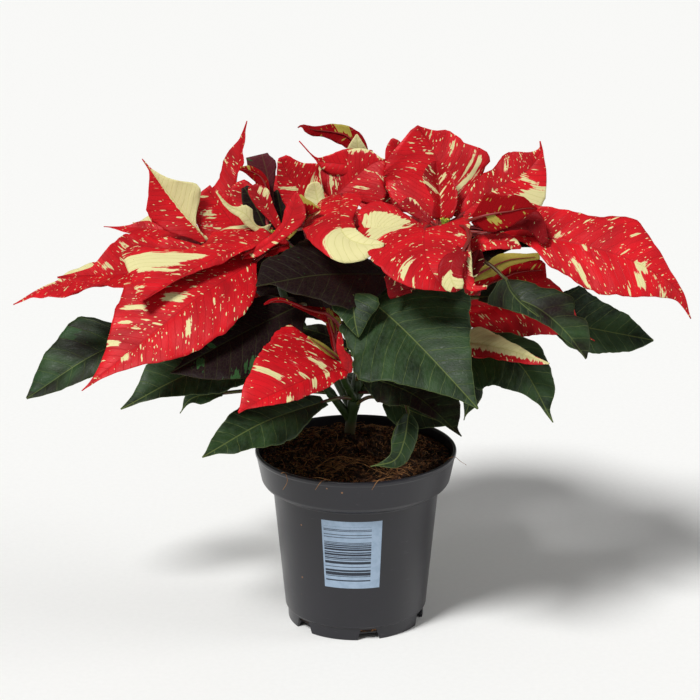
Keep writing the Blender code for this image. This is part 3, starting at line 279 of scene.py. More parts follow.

# In this head the wine red of right pocket, right tall inner, right dark small, right turned up shaded, right
# shaded and right shaded low is painted shade of its deep folds and hollows; right shaded and right shaded
# low are dark sheets that stand for the shade between the bracts.
RIGHT_BRACTS = (
    Blade("right front", ((41.8, -44, 273.8), (40.7, -62, 271), (41.3, -82, 266), (45.2, -94, 258.9),
        (53.3, -100, 250.2)), (0, -0.45, 0.9), (41.2, 27.6), fold=6, curl=(-10, 5), wave=1, flecks=0.42,
        lobes=(16, 16), patches=(Patch(1, -12.3, 7.9, 0.31, 0.86), Patch(1, 34.6, 1.9, 0.21, 0.77),
        Patch(1, -4.7, 1.6, 0.2, 0.44), Patch(-1, 2.2, 2.2, 0.7, 0.87)), outline=(pairs(0, 41.2, 5, 41.2,
        10, 40.8, 15, 40, 20, 39.2, 30, 37.2, 40, 35.2, 50, 34, 60, 32.4, 70, 28, 80, 20, 90, 8, 96, 3.6,
        100, 0.4), pairs(0, 27.6, 5, 27.6, 10, 27.6, 15, 27.6, 20, 27.6, 30, 27.2, 40, 25.6, 50, 23.6,
        60, 15.2, 70, 6.4, 80, 3.2, 90, 0.8, 96, 0.4, 100, 0.4))),
    Blade("right pocket", ((62.9, -88, 271.9), (56.2, -95, 266.5), (55.6, -99, 257.9), (59.7, -101, 250.5)),
        (0, -0.75, 0.6), (7.6, 7.6), fold=-6, curl=(20, 20), wave=0.4, maroon=0.62, flecks=0.3,
        patches=(Patch(1, 20.6, 4.4), Patch(-1, 23.8, 4.4)), outline=(even(4.4, 4, 3.6, 5.2, 6.8, 7.2, 7.6,
        7.2, 6.4, 5.6, 3.2, 1.2), even(4, 5.2, 6.4, 7.2, 7.6, 7.6, 7.2, 6.8, 6.4, 6, 5.2, 2.8))),
    Blade("right tip", ((66.7, -84, 270.8), (64.6, -92, 262), (66.9, -97, 253), (76.8, -99, 252.4)),
        (0.1, -0.8, 0.5), (3.6, 4.4), fold=6, curl=(-20, -20), wave=0.3, flecks=0.4,
        patches=(Patch(-1, 5, 9, 0.5), Patch(-1, 36, 5, 0.3)), outline=(even(1.6, 2.4, 3.2, 3.6, 3.6, 3.6,
        3.6, 3.6, 2.8, 2, 1.6, 1.2), even(1.2, 2, 3.2, 3.6, 4, 4, 4.4, 4, 0.8, 0.8, 1.2, 1.2))),
    Blade("right tall", ((54.3, -4, 269), (53.9, 8, 284.7), (51.5, 14, 300.6), (46.5, 18, 311.2),
        (38.2, 18, 323.7)), (0.02, -0.92, 0.35), (32.8, 35.2), fold=8, curl=(-8, -12), wave=1.5, flecks=0.42,
        patches=(Patch(1, 11.7, 2.6, 0.39, 0.84), Patch(1, 16.6, 1.3, 0.54, 0.84),
        Patch(1, 33.7, 1.2, 0.34, 0.76), Patch(1, 30.8, 1, 0.83, 0.84), Patch(1, 51.1, 1, 0.23, 0.79),
        Patch(-1, 45.2, 1, 0.03, 0.17), Patch(-1, 25.9, 1.3, 0.42, 0.58), Patch(-1, -0.2, 1.2, 0.87, 0.84)),
        outline=(pairs(0, 0.4, 5, 7.6, 10, 10.8, 15, 13.6, 20, 16, 30, 21.2, 40, 26.4, 46, 28.4, 52, 32.8,
        56, 32, 60, 28, 64, 19.6, 68, 18.8, 72, 18, 76, 15.6, 80, 14.8, 84, 8.8, 88, 6, 92, 4, 96, 2,
        100, 0.4), pairs(0, 0.4, 5, 15.6, 10, 24.4, 15, 29.2, 20, 31.2, 30, 34, 40, 34.8, 46, 35.2, 52, 35.2,
        56, 35.2, 60, 35.2, 64, 35.2, 68, 35.2, 72, 34.8, 76, 33.6, 80, 33.2, 84, 32.4, 88, 30.8, 92, 28.8,
        96, 14.4, 100, 4))),
    Blade("right tall inner", ((52.5, -18, 272), (52, -12, 283.2), (50.9, -5, 294.3), (49.7, 0, 305.2)),
        (0, -0.9, 0.35), (14, 12.8), fold=34, curl=(10, 10), wave=0.4, maroon=0.42, flecks=0.62,
        patches=(Patch(-1, 16, 1.8, 0.25), Patch(1, 24, 1.6, 0.15, 0.6)), outline=(even(9.2, 10.8, 12.8, 13.6,
        14, 12.8, 12, 11.2, 9.6, 7.6, 4, 1.6), even(8, 7.2, 6, 5.2, 7.2, 9.6, 11.2, 12.8, 11.2, 8.4, 5.2,
        1.6))),
    Blade("right beside tall", ((54.9, 10, 265.4), (40.5, 18, 282.2), (29.1, 24, 301.5), (22.7, 26, 313.6)),
        (0, -0.9, 0.4), (8, 16), fold=6, curl=(-6, -10), wave=0.6, outline=(pairs(0, 1.2, 10, 2.4, 20, 3.6,
        30, 4.8, 40, 6, 50, 7.2, 60, 8, 70, 7.2, 80, 6, 86, 5.2, 90, 4.4, 94, 3.6, 97, 2.8, 100, 0.4),
        pairs(0, 1.6, 10, 4, 20, 6.8, 30, 10, 40, 12.4, 50, 15.2, 60, 16, 70, 15.2, 80, 12, 86, 9.6, 90, 8,
        94, 6.4, 97, 4.4, 100, 0.4))),
    Blade("right filler", ((46.8, 14, 267.6), (27.9, 18, 277), (10.2, 20, 280.4), (-2.5, 20, 277.8)),
        (0, -0.9, 0.4), (9.2, 13.2), curl=(-10, -10), wave=0.5, flecks=0.4, outline=(even(2.8, 3.2, 4.8, 6.4,
        7.2, 8, 9.2, 8.4, 7.2, 4.8, 2.4, 1.2), even(3.6, 4.8, 6, 7.6, 9.6, 11.2, 12.4, 13.2, 13.2, 12, 6.4,
        3.2))),
    Blade("right inner", ((43.2, -40, 271.4), (26.7, -37, 279.5), (12.1, -36, 282.4), (1.1, -40, 279.6)),
        (0, -0.55, 0.85), (8.8, 23.6), fold=0, curl=(-14, -4), wave=0.5, flecks=0.42,
        patches=(Patch(-1, 25.2, 16, 0.01, 0.75),), outline=(even(2, 2, 2.8, 3.6, 4.8, 6.8, 8, 8.8, 7.6, 5.6,
        2.8, 0.8), even(7.2, 12, 16.8, 19.6, 20.8, 22, 22.4, 22.4, 23.6, 23.2, 19.2, 14.4))),
    Blade("right dark small", ((46.7, -24, 272.3), (39.4, -20, 277.6), (30.8, -16, 285.5)), (0, -0.85, 0.4),
        (3.2, 7.2), curl=(-10, -10), wave=0.4, maroon=0.6, patches=(Patch(1, 12, 8, 0.72),), outline=(even(2,
        2, 2, 2, 2, 2.4, 2.8, 3.2, 2.8, 2.8, 1.6, 0.8), even(2.8, 2.4, 2.8, 3.6, 4.4, 5.2, 5.6, 6.4, 6.8, 7.2,
        7.2, 6.8))),
    Blade("right raised", ((65.4, -18, 275.8), (80, -8, 284.8), (95, 4, 290.8), (109.3, 14, 297.4),
        (116.2, 17, 307.6), (115.4, 17, 314)), (0.1, -0.85, 0.5), (25.2, 16.4), fold=5, curl=(-14, -18),
        wave=1.5, flecks=0.6, patches=(Patch(1, 36.7, 8.2, 0.42), Patch(1, 47.5, 1.3, 0.08, 0.6),
        Patch(-1, 39.6, 1.2, 0.5, 0.8)), outline=(pairs(0, 4, 10, 6.8, 20, 10.8, 30, 14.4, 40, 18, 50, 22,
        60, 25.2, 70, 20.8, 76, 13.6, 82, 8, 88, 3.2, 94, 0.4, 100, 0.4), pairs(0, 4, 10, 6, 20, 8.8,
        30, 11.6, 40, 13.2, 50, 12.4, 60, 16.4, 70, 16.4, 76, 14.4, 82, 10.8, 88, 4.8, 94, 1.2, 100, 0.4))),
    Blade("right turned up", ((70.8, -46, 279.9), (80.8, -49, 283.8), (92.8, -50, 285.9), (102.5, -49, 287.5),
        (109.4, -46, 286.5)), (0, 0.98, -0.15), (13.6, 11.2), fold=0, curl=(0, 0), wave=0.4, maroon=0.3,
        flecks=0.3, patches=(Patch(-1, 10, 3, 0, 0.6),), outline=(even(2.4, 5.2, 8.8, 13.6, 11.2, 9.6, 9.2,
        9.2, 6.8, 2.4, 1.2, 0.4), even(1.2, 9.6, 10.8, 11.2, 10.8, 10, 8.4, 6.8, 5.2, 3.6, 2, 0.8))),
    Blade("right turned up shaded", ((81.8, -36, 269.1), (96.9, -37, 275.7), (108.2, -40, 277.7),
        (116.2, -44, 264.3)), (0, -0.8, 0.5), (7.6, 6.4), fold=4, curl=(-10, -10), wave=0.6, maroon=0.75,
        flecks=0.2, outline=(even(2, 2.8, 3.6, 4.4, 5.2, 6.8, 7.6, 7.6, 5.6, 4.4, 4, 2.4), even(3.2, 3.2, 2.8,
        2.8, 3.2, 3.6, 6.4, 4.8, 3.6, 2.4, 1.6, 1.2))),
    Blade("right small", ((67.1, -40, 258.8), (76.6, -44, 263.7), (89.1, -48, 266.7), (100, -50, 262.8)),
        (0, -0.5, 0.8), (10.4, 8.8), fold=10, curl=(-30, -20), wave=0.5, patches=(Patch(-1, 30, 3.2, 0.62),),
        outline=(even(9.6, 10.4, 6.8, 5.6, 6, 6.4, 6.8, 6.8, 5.2, 3.2, 1.6, 0.8), even(8.8, 7.6, 8, 7.6, 7.2,
        7.2, 6.8, 6.4, 5.2, 4, 2.4, 0.8))),
    Blade("right shaded", ((68.8, -60, 245.5), (71.3, -56, 253.8), (74.5, -50, 261.6)), (0, -0.8, 0.5),
        (5.6, 3.6), curl=(-10, -10), wave=0.3, maroon=0.95, flecks=0.2, outline=(even(2.4, 2.8, 3.6, 4, 4.4,
        5.2, 5.6, 5.6, 4.4, 3.2, 2.4, 2), even(2.4, 2.8, 2.8, 3.2, 3.6, 3.6, 3.6, 3.6, 3.6, 2.8, 1.2, 0.4))),
    Blade("right shaded low", ((33.6, -66, 241.6), (25.1, -68, 243.4), (17.2, -70, 250.9)), (0, -0.8, 0.5),
        (4, 9.2), curl=(-10, -10), wave=0.3, maroon=0.7, outline=(even(2.4, 2.8, 3.2, 3.6, 4, 3.6, 3.2, 2.8,
        2, 1.6, 1.2, 1.2), even(2.4, 2.8, 3.6, 4.4, 6.4, 9.2, 8.4, 5.6, 4, 2.4, 1.6, 1.2))),
    Blade("far right", ((89, -26, 265), (125, -36, 264), (164, -44, 255), (194, -48, 238), (205, -50, 218)),
        (0.1, -0.8, 0.6), (27, 24), fold=6, flecks=0.62, pinch=40, patches=(Patch(1, 89, 4.4, 0, 0.2),
        Patch(-1, 90, 3, 0, 0.2), Patch(1, 85, 2.4, 0.3, 0.62), Patch(1, 38.5, 1.8, 0.5, 0.95),
        Patch(-1, 34, 2.6, 0.06, 0.3), Patch(1, 52, 2.6, 0, 0.18), Patch(1, 104, 3, 0.5)),
        outline=(pairs(0, 3, 12, 8, 20, 15.5, 25, 21.5, 36, 24.3, 45, 28, 53, 28.8, 62, 25.4, 71, 19.8,
        82, 10.8, 89, 4.5, 95, 1.5, 100, 0.3), pairs(0, 4, 10, 15, 16, 18, 31, 19, 41, 21, 49, 25, 55.5, 29,
        61, 22.5, 70, 13.5, 77, 7, 85, 3, 92, 1.8, 100, 0.2))),
)

LOW_RIGHT_BRACTS = (
    Blade("low cream", ((53, -10, 193), (89, -40, 196), (118, -62, 193)), (0, -0.5, 0.85), (14, 20),
        flecks=0.2, patches=(Patch(-1, 40, 90), Patch(1, 40, 90, 0, 0.5)), outline=(pairs(0, 3, 20, 9,
        38, 11.5, 49, 13.2, 66, 12.5, 78, 9.5, 88, 5, 100, 0.5), pairs(0, 4, 21, 10.2, 31, 14.5, 45, 12,
        57, 8, 70, 5, 85, 2, 100, 0.5))),
    Blade("low long", ((63, 8, 209), (111, 6, 208), (152, 0, 188)), (0, -0.7, 0.7), (24, 28), flecks=0.35,
        patches=(Patch(-1, 20, 3, 0.3, 0.8),)),
    Blade("low cream turned up", ((71.2, -14, 232.9), (83.7, -12, 239.5), (96.3, -10, 244.2),
        (115.1, -8, 245.5)), (0, 0.8, -0.3), (5.6, 5.6), fold=0, curl=(0, 0), wave=0.5, patches=ALL_OVER,
        outline=(even(1.6, 2, 2.4, 3.6, 5.2, 5.6, 4.4, 3.6, 2.8, 2.8, 2.8, 2.8), even(2.4, 3.6, 4.8, 5.6, 5.2,
        4.4, 3.6, 3.2, 2.4, 1.6, 1.6, 1.2))),
    Blade("low red turned up", ((85.7, -4, 226.8), (100.2, -2, 233.4), (119.8, 0, 234.8)), (0, 0.8, -0.3),
        (8, 8), fold=0, curl=(0, 0), wave=0.5, flecks=0.3, outline=(even(4, 4.4, 5.2, 5.6, 6, 6.8, 7.2, 8, 8,
        7.2, 5.6, 3.6), even(2.4, 3.2, 4, 4.4, 4.8, 6.4, 7.6, 8, 8, 7.2, 6, 5.6))),
)

FRONT_BRACTS = (
    Blade("front low", ((-4.4, -62, 190.2), (-14.7, -72, 191.5), (-26.1, -82, 191), (-39.6, -95, 189.6),
        (-55.9, -108, 185.9), (-69.6, -116, 179.9)), (-0.1, -0.8, 0.6), (38.8, 10.8), fold=10,
        curl=(-12, -12), wave=1.2, flecks=0.45, patches=(Patch(1, 46.4, 2.4, 0.22, 0.9),
        Patch(1, 0.1, 1.5, 0.66, 0.88), Patch(1, 15.4, 2.2, 0.07, 0.33), Patch(-1, 28.8, 1.8, 0.21, 0.73),
        Patch(-1, 18.8, 1.8, 0.01, 0.43), Patch(1, 33, 1, 0.03, 0.12), Patch(-1, 48.9, 1.8, 0.68, 1),
        Patch(1, 27.4, 1, 0.25, 0.42)), outline=(pairs(0, 2.4, 6, 7.6, 12, 12.4, 18, 24.8, 25, 37.6, 32, 38.8,
        40, 35.2, 46, 32.8, 52, 30.4, 58, 28.4, 64, 26, 70, 22.4, 76, 18.4, 82, 15.2, 88, 11.6, 94, 5.2,
        100, 0.4), pairs(0, 1.6, 6, 4.8, 12, 7.6, 18, 8.4, 25, 9.6, 32, 10.8, 40, 10.8, 46, 10, 52, 10,
        58, 10.4, 64, 10.4, 70, 8.8, 76, 7.6, 82, 5.6, 88, 3.2, 94, 0.4, 100, 0.4))),
    Blade("front low rim", ((-9.9, -60, 194.6), (-18.9, -69, 204.3), (-29, -78, 215.3)), (0, 0.85, -0.4),
        (2, 2.4), fold=0, curl=(0, 0), wave=0.2, maroon=0.3, patches=ALL_OVER, outline=(even(1.2, 1.2, 1.6,
        1.6, 2, 1.6, 1.6, 1.2, 1.2, 0.8, 0.8, 0.8), even(1.6, 1.6, 2, 2, 2.4, 2.4, 2.4, 2, 1.6, 0.8, 0.4,
        0.4))),
    Blade("front low lobe", ((-5.6, -66, 188.3), (-4.4, -68, 196), (-8, -69, 203.9), (-10.1, -68, 215.4)),
        (0.2, -0.9, 0.3), (3.6, 5.2), fold=4, curl=(-20, -20), wave=0.2, flecks=0.4, outline=(even(3.6, 3.2,
        2.8, 2.8, 2.8, 1.6, 0.8, 1.2, 1.6, 1.6, 0.8, 0.4), even(3.2, 4.4, 4.8, 5.2, 4.4, 4, 4, 3.6, 2.8, 2,
        1.2, 0.4))),
    Blade("front low edge on", ((-18.4, -58, 223.4), (-26.8, -64, 227.1), (-35.6, -72, 232.7),
        (-45, -78, 238.2), (-55.1, -82, 236.6)), (0, 0.8, -0.5), (5.6, 3.6), fold=0, curl=(0, 0), wave=0.3,
        flecks=0.3, outline=(even(5.6, 3.6, 2.8, 2, 1.6, 1.2, 1.2, 1.2, 1.6, 0.4, 0.4, 0.4), even(3.6, 3.6,
        3.2, 2.4, 1.6, 1.2, 1.2, 1.2, 1.6, 2, 1.2, 0.4))),
    Blade("front low upright", ((-12.3, -56, 197.9), (-14.4, -58, 209.4), (-17.1, -58, 219.6),
        (-19.6, -58, 227.9)), (0, 0.8, -0.5), (2, 1.6), fold=0, curl=(0, 0), wave=0.2, maroon=0.5, flecks=0.2,
        outline=(even(1.2, 1.6, 2, 2, 1.6, 2, 2, 2, 2, 1.6, 1.2, 1.2), even(1.2, 1.2, 1.6, 1.6, 1.2, 1.2, 0.8,
        0.8, 0.4, 0.4, 0.4, 0.4))),
    Blade("front low brown", ((-12.3, -50, 206.9), (-13.6, -48, 213.3), (-17.9, -46, 223.6)), (0, 0.8, -0.5),
        (3.2, 5.6), fold=0, curl=(0, 0), wave=0.2, maroon=0.8, patches=(Patch(1, 10, 9, 0, 0.9),
        Patch(-1, 10, 9, 0, 0.9)), outline=(even(2.8, 2.8, 3.2, 2.8, 2.8, 2.4, 2, 2, 1.6, 1.2, 0.8, 0.8),
        even(0.8, 1.6, 2.4, 3.6, 4.8, 5.6, 4.4, 3.6, 2.8, 2, 1.2, 1.2))),
)

MAIN_LEAVES = (
    Blade("pot left leaf", ((-20, -34, 159), (-57, -74, 159), (-92, -108, 149)), (-0.1, -0.65, 0.75),
        (22, 23), joint=0.28, branch="centre", maroon=0.05, outline=(pairs(0, 4, 20, 14, 45, 18, 60, 16,
        70, 13.2, 77, 11.5, 88, 7, 95, 2.5, 100, 0.3), pairs(0, 4, 16, 9, 38, 18.5, 55, 20.8, 73, 15.5,
        84, 11, 90, 4, 100, 0.3))),
    Blade("under front leaf", ((6, -22, 172), (37, -56, 170), (64, -82, 153)), (0, -0.65, 0.75), (22, 23),
        joint=0.36, branch="centre", maroon=0.5, outline=(pairs(0, 4, 14, 11, 30, 16, 45, 14.2, 55, 10,
        66, 7.8, 81, 3.2, 100, 0.3), pairs(0, 6, 30, 20, 60, 21, 80, 14.5, 88, 8.8, 93, 2, 100, 0.3))),
    Blade("curled leaf on the rim", ((33, -36, 152), (30, -48, 138), (24, -56, 128), (9, -62, 126)),
        (0.3, -0.8, 0.4), (8, 8), joint=0.31, branch="centre"),
    Blade("pot right leaf", ((18, -14, 154), (44, -26, 146), (64, -34, 143)), (0, -0.6, 0.8), (14, 18),
        joint=0.25, branch="centre"),
    Blade("left small leaf", ((-84, -5, 155), (-104, -10, 153), (-112, -14, 144)), (0, -0.6, 0.8), (6, 6),
        joint=0.2, branch="left"),
    Blade("short right leaf", ((54, 0, 163), (73, -6, 158), (69, -10, 138)), (0, -0.7, 0.7), (9, 9),
        joint=0.34, branch="low_right"),
)

LEFT_LEAVES = (
    Blade("far left leaf", ((-106, 6, 201), (-163, 0, 181), (-210, -8, 152)), (-0.1, -0.7, 0.7), (24, 21),
        joint=0.6, maroon=0.4, patches=(Patch(1, 55, 5, 0.6), Patch(1, 34, 4, 0.5, 0.8), Patch(1, 100, 10)),
        outline=(pairs(0, 6, 20, 12, 41, 16, 54, 29, 61, 26, 67, 23, 76, 19.5, 83, 16.5, 90, 11, 96, 5,
        100, 0.5), pairs(0, 4, 20, 12, 40, 16, 59, 14, 73, 13.5, 82, 10.2, 93, 4.5, 100, 0.5))),
    Blade("left low leaf", ((-54, -16, 188), (-103, -38, 179), (-145, -58, 162)), (-0.1, -0.7, 0.7), (26, 20),
        joint=0.45, outline=(pairs(0, 5, 30, 22, 50, 25, 72, 17.5, 80, 11.5, 90, 4.5, 100, 0.5), pairs(0, 6,
        27, 21.5, 42, 20.8, 62, 14.2, 77, 7.2, 88, 2.5, 100, 0.3))),
    Blade("left maroon leaf", ((-35, -34, 222), (-71, -64, 212), (-111, -92, 197)), (-0.1, -0.7, 0.7),
        (25, 34), joint=0.62, maroon=0.95, patches=(Patch(1, 65, 4, 0.05, 0.3), Patch(-1, 49, 3, 0.75),
        Patch(-1, 38, 4, 0.6, 0.95), Patch(-1, 78, 3, 0.1, 0.35), Patch(1, 44, 3, 0.2, 0.4)),
        outline=(pairs(0, 6, 20, 18, 40, 25, 55, 22, 70, 14, 82, 7, 92, 2.2, 100, 0.2), pairs(0, 8, 25, 28,
        45, 33, 60, 29, 68, 30, 80, 23, 89, 14, 95, 6, 100, 0.3))),
    Blade("left maroon", ((-55.4, 12, 274), (-55.4, 15, 289.4), (-59.1, 18, 305.5)), (-0.1, -0.85, 0.5),
        (7.6, 10.8), curl=(-10, -10), wave=0.5, joint=0.9, maroon=0.95, flecks=0.85,
        patches=(Patch(-1, 26.3, 1.6, 0.3, 1),), outline=(even(4.4, 4, 3.6, 3.2, 3.6, 4.8, 5.6, 7.2, 7.6, 5.6,
        4, 3.6), even(4, 4.8, 6, 6.8, 7.6, 8.4, 9.2, 9.6, 10.4, 10.8, 10.4, 10.4))),
    Blade("left inner leaf", ((-55.1, -2, 257.5), (-62.6, 3, 274.3), (-70.1, 6, 287.1)), (0, -0.9, 0.45),
        (9.6, 8), curl=(-10, -10), wave=0.4, joint=0.92, maroon=0.82, outline=(pairs(0, 5, 20, 7.6, 50, 9.6,
        80, 8.4, 100, 2), pairs(0, 5, 20, 6.8, 50, 8, 80, 6, 100, 2))),
)

RIGHT_LEAVES = (
    Blade("middle maroon leaf", ((22, -28, 240), (-22, -54, 247), (-60, -72, 245)), (0, -0.5, 0.85),
        (31.6, 33.2), wave=1, joint=0.65, maroon=0.88, outline=(pairs(0, 0.4, 10, 10, 20, 18.4, 30, 24.8,
        40, 30.4, 50, 31.6, 60, 26.4, 66, 23.2, 72, 21.6, 78, 20, 84, 19.6, 88, 18.4, 92, 13.6, 96, 6.4,
        100, 0.4), pairs(0, 8.4, 10, 14, 20, 20.8, 30, 26.4, 40, 30.4, 50, 33.2, 60, 30, 66, 22, 72, 19.6,
        78, 16.4, 84, 10, 88, 2, 92, 0.4, 96, 0.4, 100, 0.4))),
    Blade("large front leaf", ((9.7, -50, 229.3), (25.2, -72, 221.3), (40.9, -93, 211), (56.5, -110, 198.4),
        (71.4, -122, 184.5)), (0, -0.75, 0.65), (43.6, 44.8), joint=0.55, maroon=0.1, outline=(pairs(0, 2.8,
        4, 27.6, 8, 29.6, 12, 30.8, 16, 31.6, 20, 32.8, 25, 34.4, 30, 36.4, 35, 39.6, 40, 42.4, 45, 43.6,
        50, 39.6, 58, 30.8, 66, 24.4, 74, 16.8, 82, 10.4, 90, 4.8, 96, 2, 100, 0.4), pairs(0, 12.4, 4, 17.2,
        8, 21.2, 12, 26, 16, 30.4, 20, 34.8, 25, 40.4, 30, 44.8, 35, 44.8, 40, 44.4, 45, 40.8, 50, 36.8,
        58, 30.4, 66, 24, 74, 18, 82, 12, 90, 6.4, 96, 2.4, 100, 0.4))),
    Blade("right folded leaf", ((76.2, -40, 228.9), (92.8, -48, 231.2), (110.5, -58, 227.2),
        (127.2, -66, 214.4), (139.4, -70, 198.5)), (0, -0.7, 0.7), (9.2, 19), fold=10, curl=(-8, -6),
        wave=0.6, joint=0.6, maroon=0.47, flecks=0.45, outline=(even(3.6, 6.4, 8, 9.2, 9.2, 8.4, 6.8, 5.6, 4,
        1.6, 0.4, 0.4), pairs(0, 4.8, 10, 9.6, 20, 12.4, 30, 13.2, 40, 13.2, 50, 16.4, 60, 19, 64, 18.4,
        68, 13, 71, 10.8, 76, 14, 82, 13.5, 90, 9.5, 96, 5, 100, 0.4))),
    Blade("right folded edge", ((90.1, -58, 246.2), (93.8, -60, 237.9), (101.7, -62, 229.7),
        (114.5, -64, 220.5)), (0.3, -0.8, 0.5), (18.4, 2), fold=2, curl=(-6, -6), wave=0.3, joint=0.7,
        maroon=0.45, outline=(pairs(0, 5.2, 4, 6.8, 10, 9.2, 20, 18.4, 30, 12.8, 40, 9.6, 50, 7.2, 60, 5.2,
        70, 4, 80, 3.2, 90, 2, 100, 1.2), pairs(0, 1.6, 4, 1.6, 10, 1.6, 20, 1.6, 30, 2, 40, 2, 50, 1.6,
        60, 1.6, 70, 1.6, 80, 1.2, 90, 0.8, 100, 0.8))),
)

# The near-black dark red of middle shaded leaf, middle dark leaf, the three backing leaves and centre inner
# leaf is painted shade: these leaves fill the deep shade inside the plant.
CENTRE_LEAVES = (
    Blade("middle hanging leaf", ((-1.9, -64, 237.8), (-1.9, -72, 233.3), (-0.7, -78, 224.4),
        (1.3, -82, 216)), (0, -0.7, 0.7), (13.2, 16), fold=14, curl=(-10, -10), wave=0.6, joint=0.64,
        outline=(even(2, 5.2, 9.2, 13.2, 13.2, 10, 7.6, 6, 4, 2.4, 0.8, 0.4), even(6.8, 12, 15.2, 16, 16,
        13.2, 10, 8, 6, 3.6, 1.6, 0.4))),
    Blade("middle shaded leaf", ((-5, -24, 188.2), (-16.3, -22, 197.5), (-33.2, -18, 202.1)), (0, -0.6, 0.8),
        (6.4, 11.6), curl=(-10, -10), wave=0.6, maroon=0.55, outline=(even(6, 5.6, 5.2, 5.2, 6, 6.4, 6.4, 6,
        5.2, 4, 2.4, 1.6), even(6, 7.6, 9.2, 10.8, 11.6, 11.6, 10.8, 10, 8.4, 6.4, 4.8, 3.6))),
    Blade("middle dark leaf", ((-11.4, 6, 198.7), (-27.9, 4, 208), (-44.3, 2, 211.2)), (0, -0.6, 0.8),
        (12, 9.2), curl=(-10, -10), wave=0.6, joint=0.62, maroon=0.97, outline=(even(10.8, 11.2, 11.6, 12,
        10.4, 8.8, 8, 7.2, 6.4, 6, 3.6, 1.6), even(8, 7.2, 6.8, 6, 6.8, 7.2, 8.4, 9.2, 9.2, 7.2, 4.8, 0.8))),
    Blade("middle backing leaf", ((28.3, 22, 219.3), (-23, 24, 218.7), (-67.8, 20, 219.9)), (0, -0.6, 0.8),
        (21.2, 24), curl=(-10, -10), wave=0.8, joint=0.62, maroon=0.97, outline=(even(16.4, 17.6, 19.2, 21.2,
        20.8, 20, 18.8, 16.8, 13.6, 10.8, 5.6, 1.6), even(16.8, 18.8, 21.6, 24, 24, 23.2, 22.8, 21.2, 18,
        14.4, 8, 2))),
    Blade("left backing leaf", ((-30.6, 26, 243.4), (-48, 26, 236.1), (-66.6, 24, 228.1)), (0, -0.6, 0.8),
        (13.6, 15.6), curl=(-10, -10), wave=0.6, joint=0.62, maroon=0.97, outline=(even(11.6, 12.8, 13.6,
        13.2, 12, 11.2, 10.4, 9.2, 8, 6, 4.4, 3.2), even(15.6, 14.8, 14.4, 14, 13.6, 13.6, 13.2, 13.2, 12.8,
        11.2, 10.4, 7.6))),
    Blade("right backing leaf", ((70.9, 10, 245.2), (91.3, 12, 247.9), (111.5, 12, 251.2)), (0, -0.6, 0.8),
        (22.4, 16.4), curl=(-10, -10), wave=0.4, joint=0.9, maroon=0.75, outline=(even(19.6, 22.4, 17.2, 13.2,
        10.4, 8, 6.4, 4.8, 4.8, 5.6, 6, 6), even(14.4, 15.2, 16.4, 15.6, 15.2, 14.4, 13.2, 12, 10.8, 8.4, 6.4,
        5.2))),
    Blade("centre inner leaf", ((-45.9, 4, 255.9), (-47.2, 10, 268.7), (-49.8, 15, 283)), (0, -0.9, 0.45),
        (5.6, 5.6), curl=(-10, -10), wave=0.4, joint=0.9, maroon=0.95, outline=(even(4.8, 4.8, 4.8, 5.2, 5.6,
        5.2, 4.8, 4.8, 4, 2.8, 1.6, 0.4), even(4.4, 4.4, 4.8, 5.2, 5.6, 5.6, 5.6, 5.6, 5.6, 4.4, 3.6, 0.4))),
)

LOW_RIGHT_LEAVES = (
    Blade("right low leaf", ((63, -12, 186), (99, -34, 186), (122, -54, 152)), (0, -0.7, 0.7), (24, 25),
        joint=0.75, outline=(pairs(0, 6, 10, 18, 20, 28, 36, 29.5, 50, 25, 65, 18, 74, 8.5, 85, 2.5,
        100, 0.3), pairs(0, 6, 20, 14, 41, 17, 50, 19.5, 62, 15.2, 73, 12.8, 82, 9.5, 91, 2, 100, 0.3))),
    Blade("far right leaf", ((120, 12, 199), (155, 8, 193), (190, 4, 187)), (0, -0.7, 0.7), (20, 25),
        joint=0.9, outline=(pairs(0, 4, 25, 16, 46, 18.8, 66, 16.5, 80, 12, 90, 7, 100, 0.3), pairs(0, 6,
        10, 18, 25, 27.5, 37, 25, 56, 19, 72, 14, 86, 7.5, 100, 0.3))),
)

def outward(label: str, start: Point, azimuth: float, reach: float, rise: float, drop: float, width: float,
            **more: Any) -> Blade:
    """A blade that leaves its head or stem at a compass angle, rises, and arches down to its tip.

    Args:
        label: The blade's name.
        start: Where it leaves.
        azimuth: Its compass angle in degrees, from +X towards +Y.
        reach: How far out it goes, in mm.
        rise: The angle at which it rises, in degrees.
        drop: How far its tip has come down, in mm.
        width: The width of each half, in mm.
        more: Other fields of the blade.

    Returns:
        The blade.
    """
    turn = math.radians(azimuth)
    path = []
    for share in (0.22, 0.6, 1.0):
        out = reach * share
        height = out * math.tan(math.radians(rise)) - drop * share ** 3
        path.append((start[0] + out * math.cos(turn), start[1] + out * math.sin(turn), start[2] + height))
    face = (-0.25 * math.cos(turn), -0.25 * math.sin(turn), 1.0)
    return Blade(label, tuple(path), face, (width, width), **more)


LEFT_HUB = (-52, -8, 252)
CENTRE_HUB = (-11, 28, 264)
RIGHT_HUB = (51, -16, 264)
BACK_HUB = (4, 70, 232)
LOW_BACK_HUB = (-46, 61, 199)

